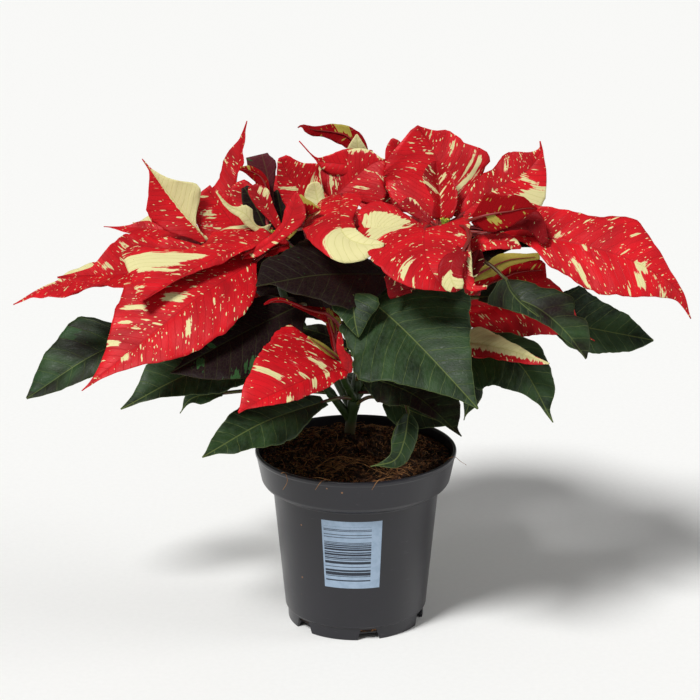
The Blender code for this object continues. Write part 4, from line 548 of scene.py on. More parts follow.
LEFT_BACK_BRACTS = (
    outward("left behind", LEFT_HUB, 126, 108, 3, 38, 25),
    outward("left behind high", LEFT_HUB, 96, 88, 12, 30, 22),
)
CENTRE_BACK_BRACTS = (
    outward("centre behind left", CENTRE_HUB, 148, 84, 22, 34, 22),
    outward("centre behind", CENTRE_HUB, 108, 96, 8, 34, 24),
    outward("centre behind right", CENTRE_HUB, 68, 92, 18, 34, 23),
)
RIGHT_BACK_BRACTS = (
    outward("right behind left", RIGHT_HUB, 92, 82, 20, 30, 21),
    outward("right behind", RIGHT_HUB, 58, 108, 10, 38, 25),
    outward("right behind low", RIGHT_HUB, 26, 116, 2, 40, 25),
)
BACK_BRACTS = tuple(
    outward(f"back {number}", BACK_HUB, azimuth, reach, rise, 40, width)
    for number, (azimuth, reach, rise, width) in enumerate(
        ((20, 92, 17, 22), (52, 104, 5, 24), (84, 88, 19, 21), (116, 102, 6, 24), (150, 90, 18, 22)), 1)
)
LOW_BACK_BRACTS = tuple(
    outward(f"low back {number}", LOW_BACK_HUB, azimuth, reach, rise, 30, width)
    for number, (azimuth, reach, rise, width) in enumerate(
        ((172, 84, 0, 20), (138, 92, 11, 22), (104, 80, -3, 20)), 1)
)

BACK_LEAVES = (
    outward("back leaf right", (5, 56, 204), 28, 118, 0, 34, 25, joint=0.62),
    outward("back leaf middle", (5, 60, 208), 76, 112, -10, 32, 26, joint=0.74),
    outward("back leaf left", (5, 56, 200), 128, 106, -6, 30, 25, joint=0.55),
)
LOW_BACK_LEAVES = (
    outward("low back leaf left", (-34, 46, 182), 160, 112, -6, 30, 25, joint=0.6),
    outward("low back leaf middle", (-38, 52, 186), 112, 96, -10, 26, 23, joint=0.8),
)
MAIN_BACK_LEAVES = (
    outward("main back leaf right", (1, 6, 150), 48, 118, -2, 28, 24, branch="centre", joint=0.30),
    outward("main back leaf left", (0, 6, 147), 84, 112, 0, 30, 23, branch="centre", joint=0.27),
)

HEADS = (
    ("left", LEFT_LEAVES, LEFT_BRACTS + LEFT_BACK_BRACTS),
    ("centre", CENTRE_LEAVES, CENTRE_BRACTS + CENTRE_BACK_BRACTS),
    ("right", RIGHT_LEAVES, RIGHT_BRACTS + RIGHT_BACK_BRACTS),
    ("low_right", LOW_RIGHT_LEAVES, LOW_RIGHT_BRACTS),
    ("front", (), FRONT_BRACTS),
    ("back", BACK_LEAVES, BACK_BRACTS),
    ("low_back", LOW_BACK_LEAVES, LOW_BACK_BRACTS),
)


def linear(colour: str) -> tuple[float, float, float, float]:
    """Turns an sRGB hex colour into linear red, green, blue and alpha."""
    levels = [int(colour[place:place + 2], 16) / 255 for place in (0, 2, 4)]
    return *(level / 12.92 if level <= 0.04045 else ((level + 0.055) / 1.055) ** 2.4 for level in levels), 1.0


class Node(Enum):
    """The nodes in use: type, settings, the sockets that values fill in turn, and the usual output."""

    ABSOLUTE = ("ShaderNodeMath", {"operation": "ABSOLUTE"})
    ADD = ("ShaderNodeMath", {"operation": "ADD"})
    DIVIDE = ("ShaderNodeMath", {"operation": "DIVIDE"})
    FLOOR = ("ShaderNodeMath", {"operation": "FLOOR"})
    GREATER_THAN = ("ShaderNodeMath", {"operation": "GREATER_THAN"})
    LESS_THAN = ("ShaderNodeMath", {"operation": "LESS_THAN"})
    MAXIMUM = ("ShaderNodeMath", {"operation": "MAXIMUM"})
    MULTIPLY = ("ShaderNodeMath", {"operation": "MULTIPLY"})
    MULTIPLY_ADD = ("ShaderNodeMath", {"operation": "MULTIPLY_ADD"})
    PINGPONG = ("ShaderNodeMath", {"operation": "PINGPONG"})
    POWER = ("ShaderNodeMath", {"operation": "POWER"})
    SUBTRACT = ("ShaderNodeMath", {"operation": "SUBTRACT"})
    VECTOR_ADD = ("ShaderNodeVectorMath", {"operation": "ADD"})
    VECTOR_MULTIPLY = ("ShaderNodeVectorMath", {"operation": "MULTIPLY"})
    VECTOR_MULTIPLY_ADD = ("ShaderNodeVectorMath", {"operation": "MULTIPLY_ADD"})
    VECTOR_SCALE = ("ShaderNodeVectorMath", {"operation": "SCALE"}, (0, "Scale"))
    RANGE = ("ShaderNodeMapRange", {})
    MIX = ("ShaderNodeMix", {"data_type": "RGBA"}, (0, 6, 7), 2)
    SPLIT = ("ShaderNodeSeparateXYZ", {}, (0,), "")
    SPLIT_COLOUR = ("ShaderNodeSeparateColor", {}, (0,))
    JOINED = ("ShaderNodeCombineXYZ", {})
    STRETCHED = ("ShaderNodeMapping", {}, ("Vector", "Scale", "Rotation"))
    NOISE = ("ShaderNodeTexNoise", {}, ("Vector", "Scale", "Detail", "Roughness"))
    CELLS = ("ShaderNodeTexVoronoi", {}, ("Vector", "Scale"), "")
    CELL_EDGE = ("ShaderNodeTexVoronoi", {"feature": "DISTANCE_TO_EDGE"}, ("Vector", "Scale"))
    LOT = ("ShaderNodeTexWhiteNoise", {"noise_dimensions": "1D"}, ("W",))
    PLACE = ("ShaderNodeTexCoord", {}, (), "Object")
    PRINT_MAP = ("ShaderNodeUVMap", {"uv_map": "print"})
    VEIN = ("ShaderNodeAttribute", {"attribute_name": "vein"}, (), "Vector")
    HABIT = ("ShaderNodeAttribute", {"attribute_name": "habit"}, (), "Vector")
    MARKS = ("ShaderNodeAttribute", {"attribute_name": "marks"}, (), "Vector")
    BUMP = ("ShaderNodeBump", {}, ("Strength", "Distance", "Height"))
    DENT = ("ShaderNodeBump", {"invert": True}, ("Strength", "Distance", "Height"))
    SHADER = ("ShaderNodeBsdfPrincipled", {}, ("IOR", "Specular IOR Level"))
    MATERIAL_END = ("ShaderNodeOutputMaterial", {}, ("Surface",), "")
    TREE_START = ("NodeGroupInput", {}, (), "")
    TREE_END = ("NodeGroupOutput", {}, (0,), "")
    CLUMP = ("GeometryNodeInputNamedAttribute", {"data_type": "FLOAT"}, ("Name",))
    RANDOM = ("FunctionNodeRandomValue", {"data_type": "FLOAT_VECTOR"}, (0, 1, "Seed"))
    STREWN = ("GeometryNodeDistributePointsOnFaces", {}, ("Mesh", "Density", "Seed"), "Points")
    INSTANCES = ("GeometryNodeInstanceOnPoints", {}, ("Points", "Instance", "Rotation", "Scale"))
    REALIZED = ("GeometryNodeRealizeInstances", {}, ("Geometry",))
    MOVED = ("GeometryNodeSetPosition", {}, ("Geometry", "Offset"))
    DRESSED = ("GeometryNodeSetMaterial", {}, ("Geometry", "Material"))
    BALL = ("GeometryNodeMeshIcoSphere", {}, ("Radius", "Subdivisions"))
    ARC = ("GeometryNodeCurveQuadraticBezier", {}, ("Resolution", "Start", "Middle", "End"))
    RING = ("GeometryNodeCurvePrimitiveCircle", {}, ("Resolution", "Radius"))
    SWEPT = ("GeometryNodeCurveToMesh", {}, ("Curve", "Profile Curve", "Fill Caps"))

    def __init__(self, kind: str, settings: Mapping[str, Any], sockets: Sequence[int | str] = (0, 1, 2, 3, 4),
                 output: int | str = 0) -> None:
        """Keeps a node's description.

        Args:
            kind: Its type.
            settings: Its own properties.
            sockets: The sockets that values fill in turn.
            output: The output that is handed back, or "" for the node itself.
        """
        self.kind = kind
        self.settings = settings
        self.sockets = sockets
        self.output = output


class Recipe:
    """A node tree under construction."""

    def __init__(self, tree: bpy.types.NodeTree) -> None:
        """Starts on an empty tree."""
        self.tree = tree

    def add(self, node: Node, *values: Any, output: int | str | None = None, **named: Any) -> Any:
        """Adds a node and fills its sockets.

        Args:
            node: Which node it is.
            values: What its sockets get in turn: a value, an sRGB hex colour, an output of another node, or
                None for a socket that keeps its own value.
            output: The output to hand back, if not the usual one.
            named: What other sockets get, by name.

        Returns:
            The output, or the node.
        """
        made = self.tree.nodes.new(node.kind)
        for name, value in node.settings.items():
            setattr(made, name, value)
        for key, value in (*zip(node.sockets, values), *named.items()):
            socket = made.inputs[key]
            if isinstance(value, bpy.types.NodeSocket):
                self.tree.links.new(value, socket)
            elif value is not None:
                socket.default_value = linear(value) if socket.type == "RGBA" else value
        chosen = node.output if output is None else output
        return made if chosen == "" else made.outputs[chosen]


@dataclass(frozen=True)
class Finish:
    """What every finish has: the material's name and the plain values of its shader."""

    name: str = ""
    ior: float = 1.45
    specular: float = 0.5

    def material(self) -> bpy.types.Material:
        """Builds the material.

        Returns:
            The new material.
        """
        made = bpy.data.materials.new(self.name)
        made.use_nodes = True
        made.node_tree.nodes.clear()
        recipe = Recipe(made.node_tree)
        shader = recipe.add(Node.SHADER, self.ior, self.specular, **self.surface(recipe))
        recipe.add(Node.MATERIAL_END, shader)
        return made

    def surface(self, recipe: Recipe) -> dict[str, Any]:
        """Builds the pattern nodes and gives what goes into the shader's sockets."""
        raise NotImplementedError


class BladeGround:
    """What leaves and bracts share: the places on the blade, in mm where they are lengths, and the veins."""

    def __init__(self, recipe: Recipe) -> None:
        """Reads the blade's own coordinates.

        Args:
            recipe: The material under construction.
        """
        self.add = add = recipe.add
        self.vein = add(Node.VEIN)
        self.across, self.place, _ = add(Node.SPLIT, self.vein).outputs
        self.spacing, self.maroon, self.flecks = add(Node.SPLIT, add(Node.HABIT)).outputs
        self.patch, self.upper, self.margin = add(Node.SPLIT, add(Node.MARKS)).outputs

    def side_veins(self, half_width: float, crowd: float = 1.0) -> Any:
        """Draws the side veins.

        Args:
            half_width: Half the width of a vein, in mm.
            crowd: How many veins there are for each swelling of the blade.

        Returns:
            1 on a vein and 0 between veins.
        """
        wander = self.add(Node.NOISE, self.vein, 0.12, 2.0)
        bent = self.add(Node.MULTIPLY_ADD, wander, 3.2, self.place)
        step = self.add(Node.DIVIDE, self.spacing, crowd)
        share = self.add(Node.PINGPONG, self.add(Node.DIVIDE, bent, step), 0.5)
        gap = self.add(Node.MULTIPLY, share, step)
        return self.add(Node.RANGE, gap, 0.25 * half_width, half_width, 1.0, 0.0)

    def midrib(self, half_width: float) -> Any:
        """Gives 1 on the midrib, half_width mm to each side of the middle, and 0 beyond."""
        off = self.add(Node.ABSOLUTE, self.across)
        return self.add(Node.RANGE, off, 0.35 * half_width, half_width, 1.0, 0.0)

    def net(self, mesh: float) -> Any:
        """Gives 1 on a thread of the fine net between the veins and 0 in its meshes, mesh mm wide."""
        thread = self.add(Node.CELL_EDGE, self.vein, 1 / mesh)
        return self.add(Node.RANGE, thread, 0.03, 0.13, 1.0, 0.0)

    def stretched(self, length: float, width: float) -> Any:
        """The blade's coordinates, counted in length mm along the side veins and in width mm across them."""
        return self.add(Node.VECTOR_MULTIPLY, self.vein, (1 / length, 1 / width, 1.0))

    def along_veins(self, length: float, width: float, detail: float = 3.0) -> Any:
        """Gives noise of detail layers, in spots length mm long on the side veins and width mm wide."""
        return self.add(Node.NOISE, self.stretched(length, width), 1.0, detail, 0.55)

    def dashes(self, length: float, width: float, keep: Any) -> Any:
        """Strews separate dashes of many sizes along the side veins.

        Args:
            length: The size along a vein of the cell that each dash lies in, in mm.
            width: The cell's size across the veins in mm.
            keep: The share of the cells that stay empty.

        Returns:
            1 inside a dash and 0 outside.
        """
        add = self.add
        stretched = self.stretched(length, width)
        wobble = add(Node.NOISE, stretched, 1.7, 2.0, output="Color")
        cells = add(Node.CELLS, add(Node.VECTOR_MULTIPLY_ADD, wobble, (0.9, 0.7, 0.0), stretched), 1.0)
        lot = add(Node.SPLIT_COLOUR, cells.outputs["Color"], output="")
        kept = add(Node.GREATER_THAN, lot.outputs[0], keep)
        grown = add(Node.POWER, lot.outputs[1], 3.0)
        size = add(Node.RANGE, grown, 0.0, 1.0, 0.11, 0.44)
        over = add(Node.SUBTRACT, cells.outputs["Distance"], size)
        return add(Node.MULTIPLY, kept, add(Node.RANGE, over, -0.03, 0.03, 1.0, 0.0))


@dataclass(frozen=True)
class VariegatedBract(Finish):
    """A bract of a variegated poinsettia, a soft coloured leaf.

    The red is satin rather than glossy, and the cream is skin that makes no red at all, so its flecks have
    crisp edges and follow the side veins. The underside is a dull, brownish red, drawn darker and browner
    than it is with painted shade; the wine red of some bracts is painted shade as well.
    """

    name: str = "poinsettia_bract_variegated"
    specular: float = 0.25
    specular_dark: float = 0.06
    red: str = "D4121E"
    deep_red: str = "A60B15"
    wine: str = "4A070C"
    cream: str = "DCD49A"
    cream_shade: str = "BDBB68"
    pink: str = "E8707A"
    vein_red: str = "8E0D14"
    under_red_with_shade: str = "8C0A10"
    under_cream_with_shade: str = "A79845"
    roughness: float = 0.52

    def surface(self, recipe: Recipe) -> dict[str, Any]:
        """Builds the flecked red skin.

        Args:
            recipe: The material under construction.

        Returns:
            What goes into the shader's sockets, by name.
        """
        add = recipe.add
        ground = BladeGround(recipe)
        # Flecks are 2 to 6 mm long, specks about 1 mm, and patches lie where the blade's own marks say.
        crowd = ground.along_veins(30.0, 16.0, 1.0)
        fray = ground.along_veins(13.0, 2.2, 4.0)
        bare = add(Node.RANGE, ground.flecks, 0.0, 1.0, 1.35, 0.7)
        keep = add(Node.MULTIPLY_ADD, crowd, -0.7, bare)
        flecks = ground.dashes(6.0, 2.1, keep)
        specks = ground.dashes(2.0, 1.2, keep)
        ragged = add(Node.MULTIPLY_ADD, fray, 1.4, ground.patch)
        patch_mask = add(Node.RANGE, ragged, 1.2, 1.23)
        marked = add(Node.MAXIMUM, flecks, specks)
        marked = add(Node.MAXIMUM, marked, patch_mask)
        halo = add(Node.RANGE, ragged, 1.1, 1.2, 0.0, 0.3)
        # Red that deepens in soft clouds.
        cloud = ground.along_veins(26.0, 18.0)
        reds = add(Node.RANGE, cloud, 0.35, 0.68)
        red = add(Node.MIX, reds, self.red, self.deep_red)
        # Painted shade: the blade's maroon share turns the red towards dark wine where the bract lies in a
        # fold, a hollow or under its neighbours.
        deeper = add(Node.RANGE, ground.maroon, 0.12, 1.0)
        red = add(Node.MIX, deeper, red, self.wine)
        # The underside has lost its wax, and the parts darkened to wine as painted shade shine less too.
        worn = add(Node.MULTIPLY_ADD, deeper, -0.8, ground.upper)
        wax = add(Node.RANGE, worn, 0.0, 1.0, self.specular_dark, self.specular)
        red = add(Node.MIX, halo, red, self.pink)
        veins = ground.side_veins(0.32, 2.0)
        ribs = add(Node.MAXIMUM, ground.midrib(0.6), veins)
        rib_share = add(Node.MULTIPLY, ribs, 0.38)
        red = add(Node.MIX, rib_share, red, self.vein_red)
        cream = add(Node.MIX, rib_share, self.cream, self.cream_shade)
        top = add(Node.MIX, marked, red, cream)
        # Partly painted shade: the underside's duller red and cream are drawn darker and more olive, as they
        # look in shade.
        under_red_with_shade = add(Node.MIX, rib_share, self.under_red_with_shade, self.vein_red)
        under = add(Node.MIX, marked, under_red_with_shade, self.under_cream_with_shade)
        colour = add(Node.MIX, ground.upper, under, top)
        threads = ground.net(2.6)
        relief = add(Node.MULTIPLY_ADD, threads, 0.25, ribs)
        bump = add(Node.DENT, 0.4, 0.35 * MM, relief)
        gloss = add(Node.RANGE, cloud, 0.3, 0.7, self.roughness - 0.05, self.roughness + 0.08)
        return {"Base Color": colour, "Roughness": gloss, "Specular IOR Level": wax, "Normal": bump}


@dataclass(frozen=True)
class PoinsettiaLeaf(Finish):
    """A mature poinsettia leaf with its thin wax.

    The wax gives the dark green a cool satin sheen, painted into the colour as soft pale mottles over its own
    mottling; the veins show as thin yellow-green lines and the margin as a thin pale one. Some leaves turn
    dark maroon but for a few green islands; that dark red is partly painted shade.
    """

    name: str = "poinsettia_leaf_waxed"
    specular: float = 0.24
    specular_maroon: float = 0.1
    green: str = "304827"
    deep_green: str = "101D0F"
    mottle_and_sheen: str = "485B48"
    island: str = "2E4F2C"
    maroon: str = "130A0B"
    maroon_light: str = "251519"
    wine: str = "6A2632"
    vein: str = "8C9A52"
    under: str = "53663F"
    under_maroon: str = "6A3A3C"
    roughness: float = 0.48

    def surface(self, recipe: Recipe) -> dict[str, Any]:
        """Builds the veined green skin.

        Args:
            recipe: The material under construction.

        Returns:
            What goes into the shader's sockets, by name.
        """
        add = recipe.add
        ground = BladeGround(recipe)
        cloud = ground.along_veins(34.0, 26.0)
        mottles = ground.along_veins(3.2, 2.6, 4.0)
        greens = add(Node.RANGE, cloud, 0.36, 0.66)
        green = add(Node.MIX, greens, self.deep_green, self.green)
        # Painted sheen: the pale cool mottles stand for the wax's sheen, on top of the leaf's own mottling.
        pale = add(Node.RANGE, mottles, 0.45, 0.75, 0.0, 0.25)
        green = add(Node.MIX, pale, green, self.mottle_and_sheen)
        # Painted shade: this dark red is drawn darker than the leaf's own colour.
        dark_red_and_shade = add(Node.MIX, mottles, self.maroon, self.maroon_light)
        young = add(Node.RANGE, ground.flecks, 0.5, 1.0, 0.0, 0.85)
        dark_red_and_shade = add(Node.MIX, young, dark_red_and_shade, self.wine)
        # The dark red grows in clouds up to the leaf's own share, and stays off the marked green islands. It
        # is partly the leaf's own colour and partly painted shade, and near black on the leaves that fill the
        # shade inside the plant.
        flush = ground.along_veins(30.0, 20.0, 2.0)
        level = add(Node.ADD, ground.maroon, flush)
        turned = add(Node.RANGE, level, 0.80, 1.15)
        fray = ground.along_veins(10.0, 3.0, 4.0)
        ragged = add(Node.MULTIPLY_ADD, fray, 2.0, ground.patch)
        islands = add(Node.RANGE, ragged, 1.5, 1.55)
        spots = ground.along_veins(5.0, 3.0)
        spotted = add(Node.RANGE, spots, 0.70, 0.72)
        islands = add(Node.MAXIMUM, islands, spotted)
        islands = add(Node.MULTIPLY, islands, turned)
        colour = add(Node.MIX, turned, green, dark_red_and_shade)
        colour = add(Node.MIX, islands, colour, self.island)
        side = ground.side_veins(0.3)
        fade = add(Node.RANGE, mottles, 0.35, 0.6, 0.35, 0.85)
        veins = add(Node.MULTIPLY, side, fade)
        middle = ground.midrib(0.6)
        ribs = add(Node.MAXIMUM, middle, veins)
        rim = add(Node.RANGE, ground.margin, 0.2, 0.6, 0.7, 0.0)
        lines = add(Node.MAXIMUM, ribs, rim)
        threads = ground.net(2.4)
        strength = add(Node.RANGE, turned, 0.0, 1.0, 0.34, 0.1)
        wax = add(Node.RANGE, turned, 0.0, 1.0, self.specular, self.specular_maroon)
        lines_share = add(Node.MULTIPLY, lines, strength)
        net_share = add(Node.MULTIPLY, threads, 0.02)
        share = add(Node.MAXIMUM, lines_share, net_share)
        top = add(Node.MIX, share, colour, self.vein)
        below = add(Node.MIX, turned, self.under, self.under_maroon)
        below = add(Node.MIX, share, below, self.vein)
        colour = add(Node.MIX, ground.upper, below, top)
        relief = add(Node.MULTIPLY_ADD, threads, 0.3, ribs)
        bump = add(Node.DENT, 0.5, 0.35 * MM, relief)
        gloss = add(Node.RANGE, mottles, 0.3, 0.7, self.roughness - 0.08, self.roughness + 0.12)
        return {"Base Color": colour, "Roughness": gloss, "Specular IOR Level": wax, "Normal": bump}


@dataclass(frozen=True)
class GreenStem(Finish):
    """A young stem: smooth green bark that turns brown and corky towards the soil, streaked lengthwise."""

    name: str = "poinsettia_stem_bark"
    specular: float = 0.4
    young: str = "2E4618"
    deeper: str = "1B220D"
    cork: str = "4A3620"
    roughness: float = 0.5

    def surface(self, recipe: Recipe) -> dict[str, Any]:
        """Builds the streaked bark.

        Args:
            recipe: The material under construction.

        Returns:
            What goes into the shader's sockets, by name.
        """
        add = recipe.add
        place = add(Node.PLACE)
        # Streaks are about 1 mm wide and 12 mm long.
        stretched = add(Node.STRETCHED, place, (900.0, 900.0, 80.0))
        streaks = add(Node.NOISE, stretched, 1.0, 4.0)
        cloud = add(Node.NOISE, place, 45.0, 3.0)
        green = add(Node.MIX, streaks, self.deeper, self.young)
        height = add(Node.SPLIT, place, output=2)
        low = add(Node.RANGE, height, 105 * MM, 150 * MM, 0.75, 0.1)
        corky = add(Node.ADD, cloud, low)
        corky = add(Node.RANGE, corky, 0.85, 1.2)
        colour = add(Node.MIX, corky, green, self.cork)
        bump = add(Node.BUMP, 0.4, 0.3 * MM, streaks)
        gloss = add(Node.RANGE, corky, 0.0, 1.0, self.roughness, self.roughness + 0.3)
        return {"Base Color": colour, "Roughness": gloss, "Normal": bump}


@dataclass(frozen=True)
class LeafStalk(Finish):
    """A leaf's or bract's stalk: smooth, slightly shiny skin, flushed red on green in long soft streaks."""

    name: str = "poinsettia_leaf_stalk"
    specular: float = 0.45
    flush: str = "4E1A18"
    green: str = "4B5A24"
    roughness: float = 0.42

    def surface(self, recipe: Recipe) -> dict[str, Any]:
        """Builds the flushed skin.

        Args:
            recipe: The material under construction.

        Returns:
            What goes into the shader's sockets, by name.
        """
        add = recipe.add
        vein = add(Node.VEIN)
        stretched = add(Node.VECTOR_MULTIPLY, vein, (0.9, 0.06, 1.0))
        streaks = add(Node.NOISE, stretched, 1.0, 3.0)
        share = add(Node.RANGE, streaks, 0.38, 0.62)
        colour = add(Node.MIX, share, self.flush, self.green)
        bump = add(Node.BUMP, 0.3, 0.15 * MM, streaks)
        gloss = add(Node.RANGE, streaks, 0.0, 1.0, self.roughness - 0.06, self.roughness + 0.08)
        return {"Base Color": colour, "Roughness": gloss, "Normal": bump}


@dataclass(frozen=True)
class BudSkin(Finish):
    """The skin of a part of the true flower: smooth and firm, two soft tones in clouds, a gentle shine."""

    name: str = "cyathium_cup_skin"
    light: str = "A9B23A"
    dark: str = "6E8A24"
    roughness: float = 0.36
    grain: float = 0.8

    def surface(self, recipe: Recipe) -> dict[str, Any]:
        """Builds the clouded skin with clouds grain mm across.

        Args:
            recipe: The material under construction.

        Returns:
            What goes into the shader's sockets, by name.
        """
        add = recipe.add
        place = add(Node.PLACE)
        cloud = add(Node.NOISE, place, 1 / (self.grain * MM), 3.0)
        share = add(Node.RANGE, cloud, 0.35, 0.65)
        colour = add(Node.MIX, share, self.dark, self.light)
        bump = add(Node.BUMP, 0.3, 0.1 * MM, cloud)
        gloss = add(Node.RANGE, cloud, 0.0, 1.0, self.roughness - 0.08, self.roughness + 0.1)
        return {"Base Color": colour, "Roughness": gloss, "Normal": bump}


@dataclass(frozen=True)
class MouldedPlastic(Finish):
    """Recycled polypropylene, injection moulded.

    It is a warm near-black with a satin, slightly clouded shine, faint upright flow lines and fine scuffs,
    and carries specks of dry peat.
    """

    name: str = "polypropylene_recycled_moulded"
    ior: float = 1.49
    specular: float = 0.5
    dark: str = "17161C"
    light: str = "222128"
    scuff: str = "5C5A60"
    peat: str = "9A7050"
    roughness: float = 0.31

    def surface(self, recipe: Recipe) -> dict[str, Any]:
        """Builds the clouded, speckled plastic.

        Args:
            recipe: The material under construction.

        Returns:
            What goes into the shader's sockets, by name.
        """
        add = recipe.add
        place = add(Node.PLACE)
        cloud = add(Node.NOISE, place, 38.0, 5.0)
        # Flow lines run up the wall, about 3 mm apart.
        upright = add(Node.STRETCHED, place, (330.0, 330.0, 9.0))
        flow = add(Node.NOISE, upright, 1.0, 2.0)
        grain = add(Node.NOISE, place, 1500.0, 2.0)
        colour = add(Node.MIX, cloud, self.dark, self.light)
        turned = add(Node.STRETCHED, place, (120.0, 120.0, 900.0), (0.3, 0.2, 0.0))
        scratches = add(Node.NOISE, turned, 1.0, 5.0)
        scuffs = add(Node.RANGE, scratches, 0.68, 0.76, 0.0, 0.35)
        colour = add(Node.MIX, scuffs, colour, self.scuff)
        # Peat specks are 0.5 to 1.5 mm across, drawn a little coarse so that they show.
        cells = add(Node.CELLS, place, 120.0)
        lot = add(Node.SPLIT_COLOUR, cells.outputs["Color"])
        kept = add(Node.GREATER_THAN, lot, 0.62)
        size = add(Node.RANGE, lot, 0.62, 1.0, 0.03, 0.09)
        inside = add(Node.LESS_THAN, cells.outputs["Distance"], size)
        specks = add(Node.MULTIPLY, kept, inside)
        colour = add(Node.MIX, specks, colour, self.peat)
        gloss = add(Node.MULTIPLY_ADD, cloud, 0.22, self.roughness - 0.08)
        gloss = add(Node.MULTIPLY_ADD, specks, 0.4, gloss)
        relief = add(Node.MULTIPLY_ADD, flow, 0.6, grain)
        bump = add(Node.BUMP, 0.25, 0.12 * MM, relief)
        return {"Base Color": colour, "Roughness": gloss, "Normal": bump}


@dataclass(frozen=True)
class PrintedInk(Finish):
    """Pad-printed ink: flat, chalky pale blue with dark plain bars, slightly worn through to the plastic."""

    name: str = "pad_printed_ink"
    specular: float = 0.35
    paper: str = "A0B4CA"
    paper_worn: str = "92A7BD"
    bar: str = "2E3540"
    length: float = 46.0
    bar_step: float = 0.44
    bar_area: tuple[float, float, float, float] = (0.03, 0.83, 0.09, 0.92)
    bar_share: float = 0.42
    roughness: float = 0.5

    def surface(self, recipe: Recipe) -> dict[str, Any]:
        """Builds the plain bars on the panel's own map, which runs from 0 to 1 across and up.

        Args:
            recipe: The material under construction.

        Returns:
            What goes into the shader's sockets, by name.
        """
        add = recipe.add
        place = add(Node.PRINT_MAP)
        split = add(Node.SPLIT, place)
        left, right, foot, top = self.bar_area
        number = add(Node.MULTIPLY, split.outputs[1], self.length / self.bar_step)
        number = add(Node.FLOOR, number)
        lot = add(Node.LOT, number)
        dark = add(Node.LESS_THAN, lot, self.bar_share)
        for axis, low, high in ((0, left, right), (1, foot, top)):
            above = add(Node.GREATER_THAN, split.outputs[axis], low)
            below = add(Node.LESS_THAN, split.outputs[axis], high)
            within = add(Node.MULTIPLY, above, below)
            dark = add(Node.MULTIPLY, dark, within)
        coords = add(Node.PLACE)
        wear = add(Node.NOISE, coords, 260.0, 5.0)
        share = add(Node.RANGE, wear, 0.4, 0.7)
        paper = add(Node.MIX, share, self.paper, self.paper_worn)
        colour = add(Node.MIX, dark, paper, self.bar)
        gloss = add(Node.RANGE, wear, 0.0, 1.0, self.roughness - 0.06, self.roughness + 0.1)
        return {"Base Color": colour, "Roughness": gloss}


@dataclass(frozen=True)
class Peat(Finish):
    """Moist potting peat: crumbly and matt, near-black with brown crumbs."""

    name: str = "peat_compost_moist"
    specular: float = 0.25
    dark: str = "1A100A"
    brown: str = "4C301E"
    crumb: str = "8A5E3A"
    roughness: float = 0.86

    def surface(self, recipe: Recipe) -> dict[str, Any]:
        """Builds crumbs from 1 to 6 mm in three tones.

        Args:
            recipe: The material under construction.

        Returns:
            What goes into the shader's sockets, by name.
        """
        add = recipe.add
        place = add(Node.PLACE)
        coarse = add(Node.NOISE, place, 170.0, 6.0, 0.7)
        fine = add(Node.CELLS, place, 620.0)
        share = add(Node.RANGE, coarse, 0.42, 0.64)
        colour = add(Node.MIX, share, self.dark, self.brown)
        lot = add(Node.SPLIT_COLOUR, fine.outputs["Color"])
        bits = add(Node.RANGE, lot, 0.84, 0.9, 0.0, 0.8)
        colour = add(Node.MIX, bits, colour, self.crumb)
        relief = add(Node.MULTIPLY_ADD, coarse, 1.5, fine.outputs["Distance"])
        bump = add(Node.BUMP, 0.9, 1.2 * MM, relief)
        gloss = add(Node.RANGE, coarse, 0.0, 1.0, self.roughness - 0.14, self.roughness + 0.1)
        return {"Base Color": colour, "Roughness": gloss, "Normal": bump}


@dataclass(frozen=True)
class Coir(Finish):
    """Coconut fibre: dry, stiff threads from pale straw to orange brown, darker where they are damp."""

    name: str = "coir_fibre_dry"
    specular: float = 0.3
    pale: str = "C08C58"
    brown: str = "6A3E20"
    roughness: float = 0.7

    def surface(self, recipe: Recipe) -> dict[str, Any]:
        """Builds threads whose tone changes every few millimetres.

        Args:
            recipe: The material under construction.

        Returns:
            What goes into the shader's sockets, by name.
        """
        add = recipe.add
        place = add(Node.PLACE)
        tone = add(Node.NOISE, place, 240.0, 2.0)
        share = add(Node.RANGE, tone, 0.36, 0.64)
        colour = add(Node.MIX, share, self.brown, self.pale)
        gloss = add(Node.RANGE, tone, 0.0, 1.0, self.roughness - 0.1, self.roughness + 0.15)
        return {"Base Color": colour, "Roughness": gloss}


@dataclass(frozen=True)
class StudioPaper(Finish):
    """Seamless background paper: white, matt and very faintly fibrous."""

    name: str = "background_paper_white"
    specular: float = 0.2
    white: str = "F7F7F5"
    shade: str = "F1F1EF"
    roughness: float = 0.9

    def surface(self, recipe: Recipe) -> dict[str, Any]:
        """Builds the plain paper.

        Args:
            recipe: The material under construction.

        Returns:
            What goes into the shader's sockets, by name.
        """
        add = recipe.add
        place = add(Node.PLACE)
        fibres = add(Node.NOISE, place, 300.0, 2.0)
        colour = add(Node.MIX, fibres, self.white, self.shade)
        return {"Base Color": colour, "Roughness": self.roughness}


def resampled(points: Sequence[Sequence[float]], count: int) -> np.ndarray:
    """A smooth curve through the points.

    Args:
        points: The points that the curve passes, in order.
        count: How many samples to give.

    Returns:
        Evenly spaced samples, one a row.
    """
    knots = np.asarray(points, float)
    ends = np.vstack([2 * knots[0] - knots[1], knots, 2 * knots[-1] - knots[-2]])
    step = np.linspace(0, 1, 16, endpoint=False)[:, None]
    pieces = []
    for a, b, c, d in zip(ends, ends[1:], ends[2:], ends[3:]):
        pieces.append(0.5 * (2 * b + (c - a) * step + (2 * a - 5 * b + 4 * c - d) * step ** 2
                             + (3 * b - a - 3 * c + d) * step ** 3))
    dense = np.vstack(pieces + [knots[-1:]])
    run = travelled(dense)
    wanted = np.linspace(0, run[-1], count)
    return np.stack([np.interp(wanted, run, dense[:, axis]) for axis in range(3)], axis=1)


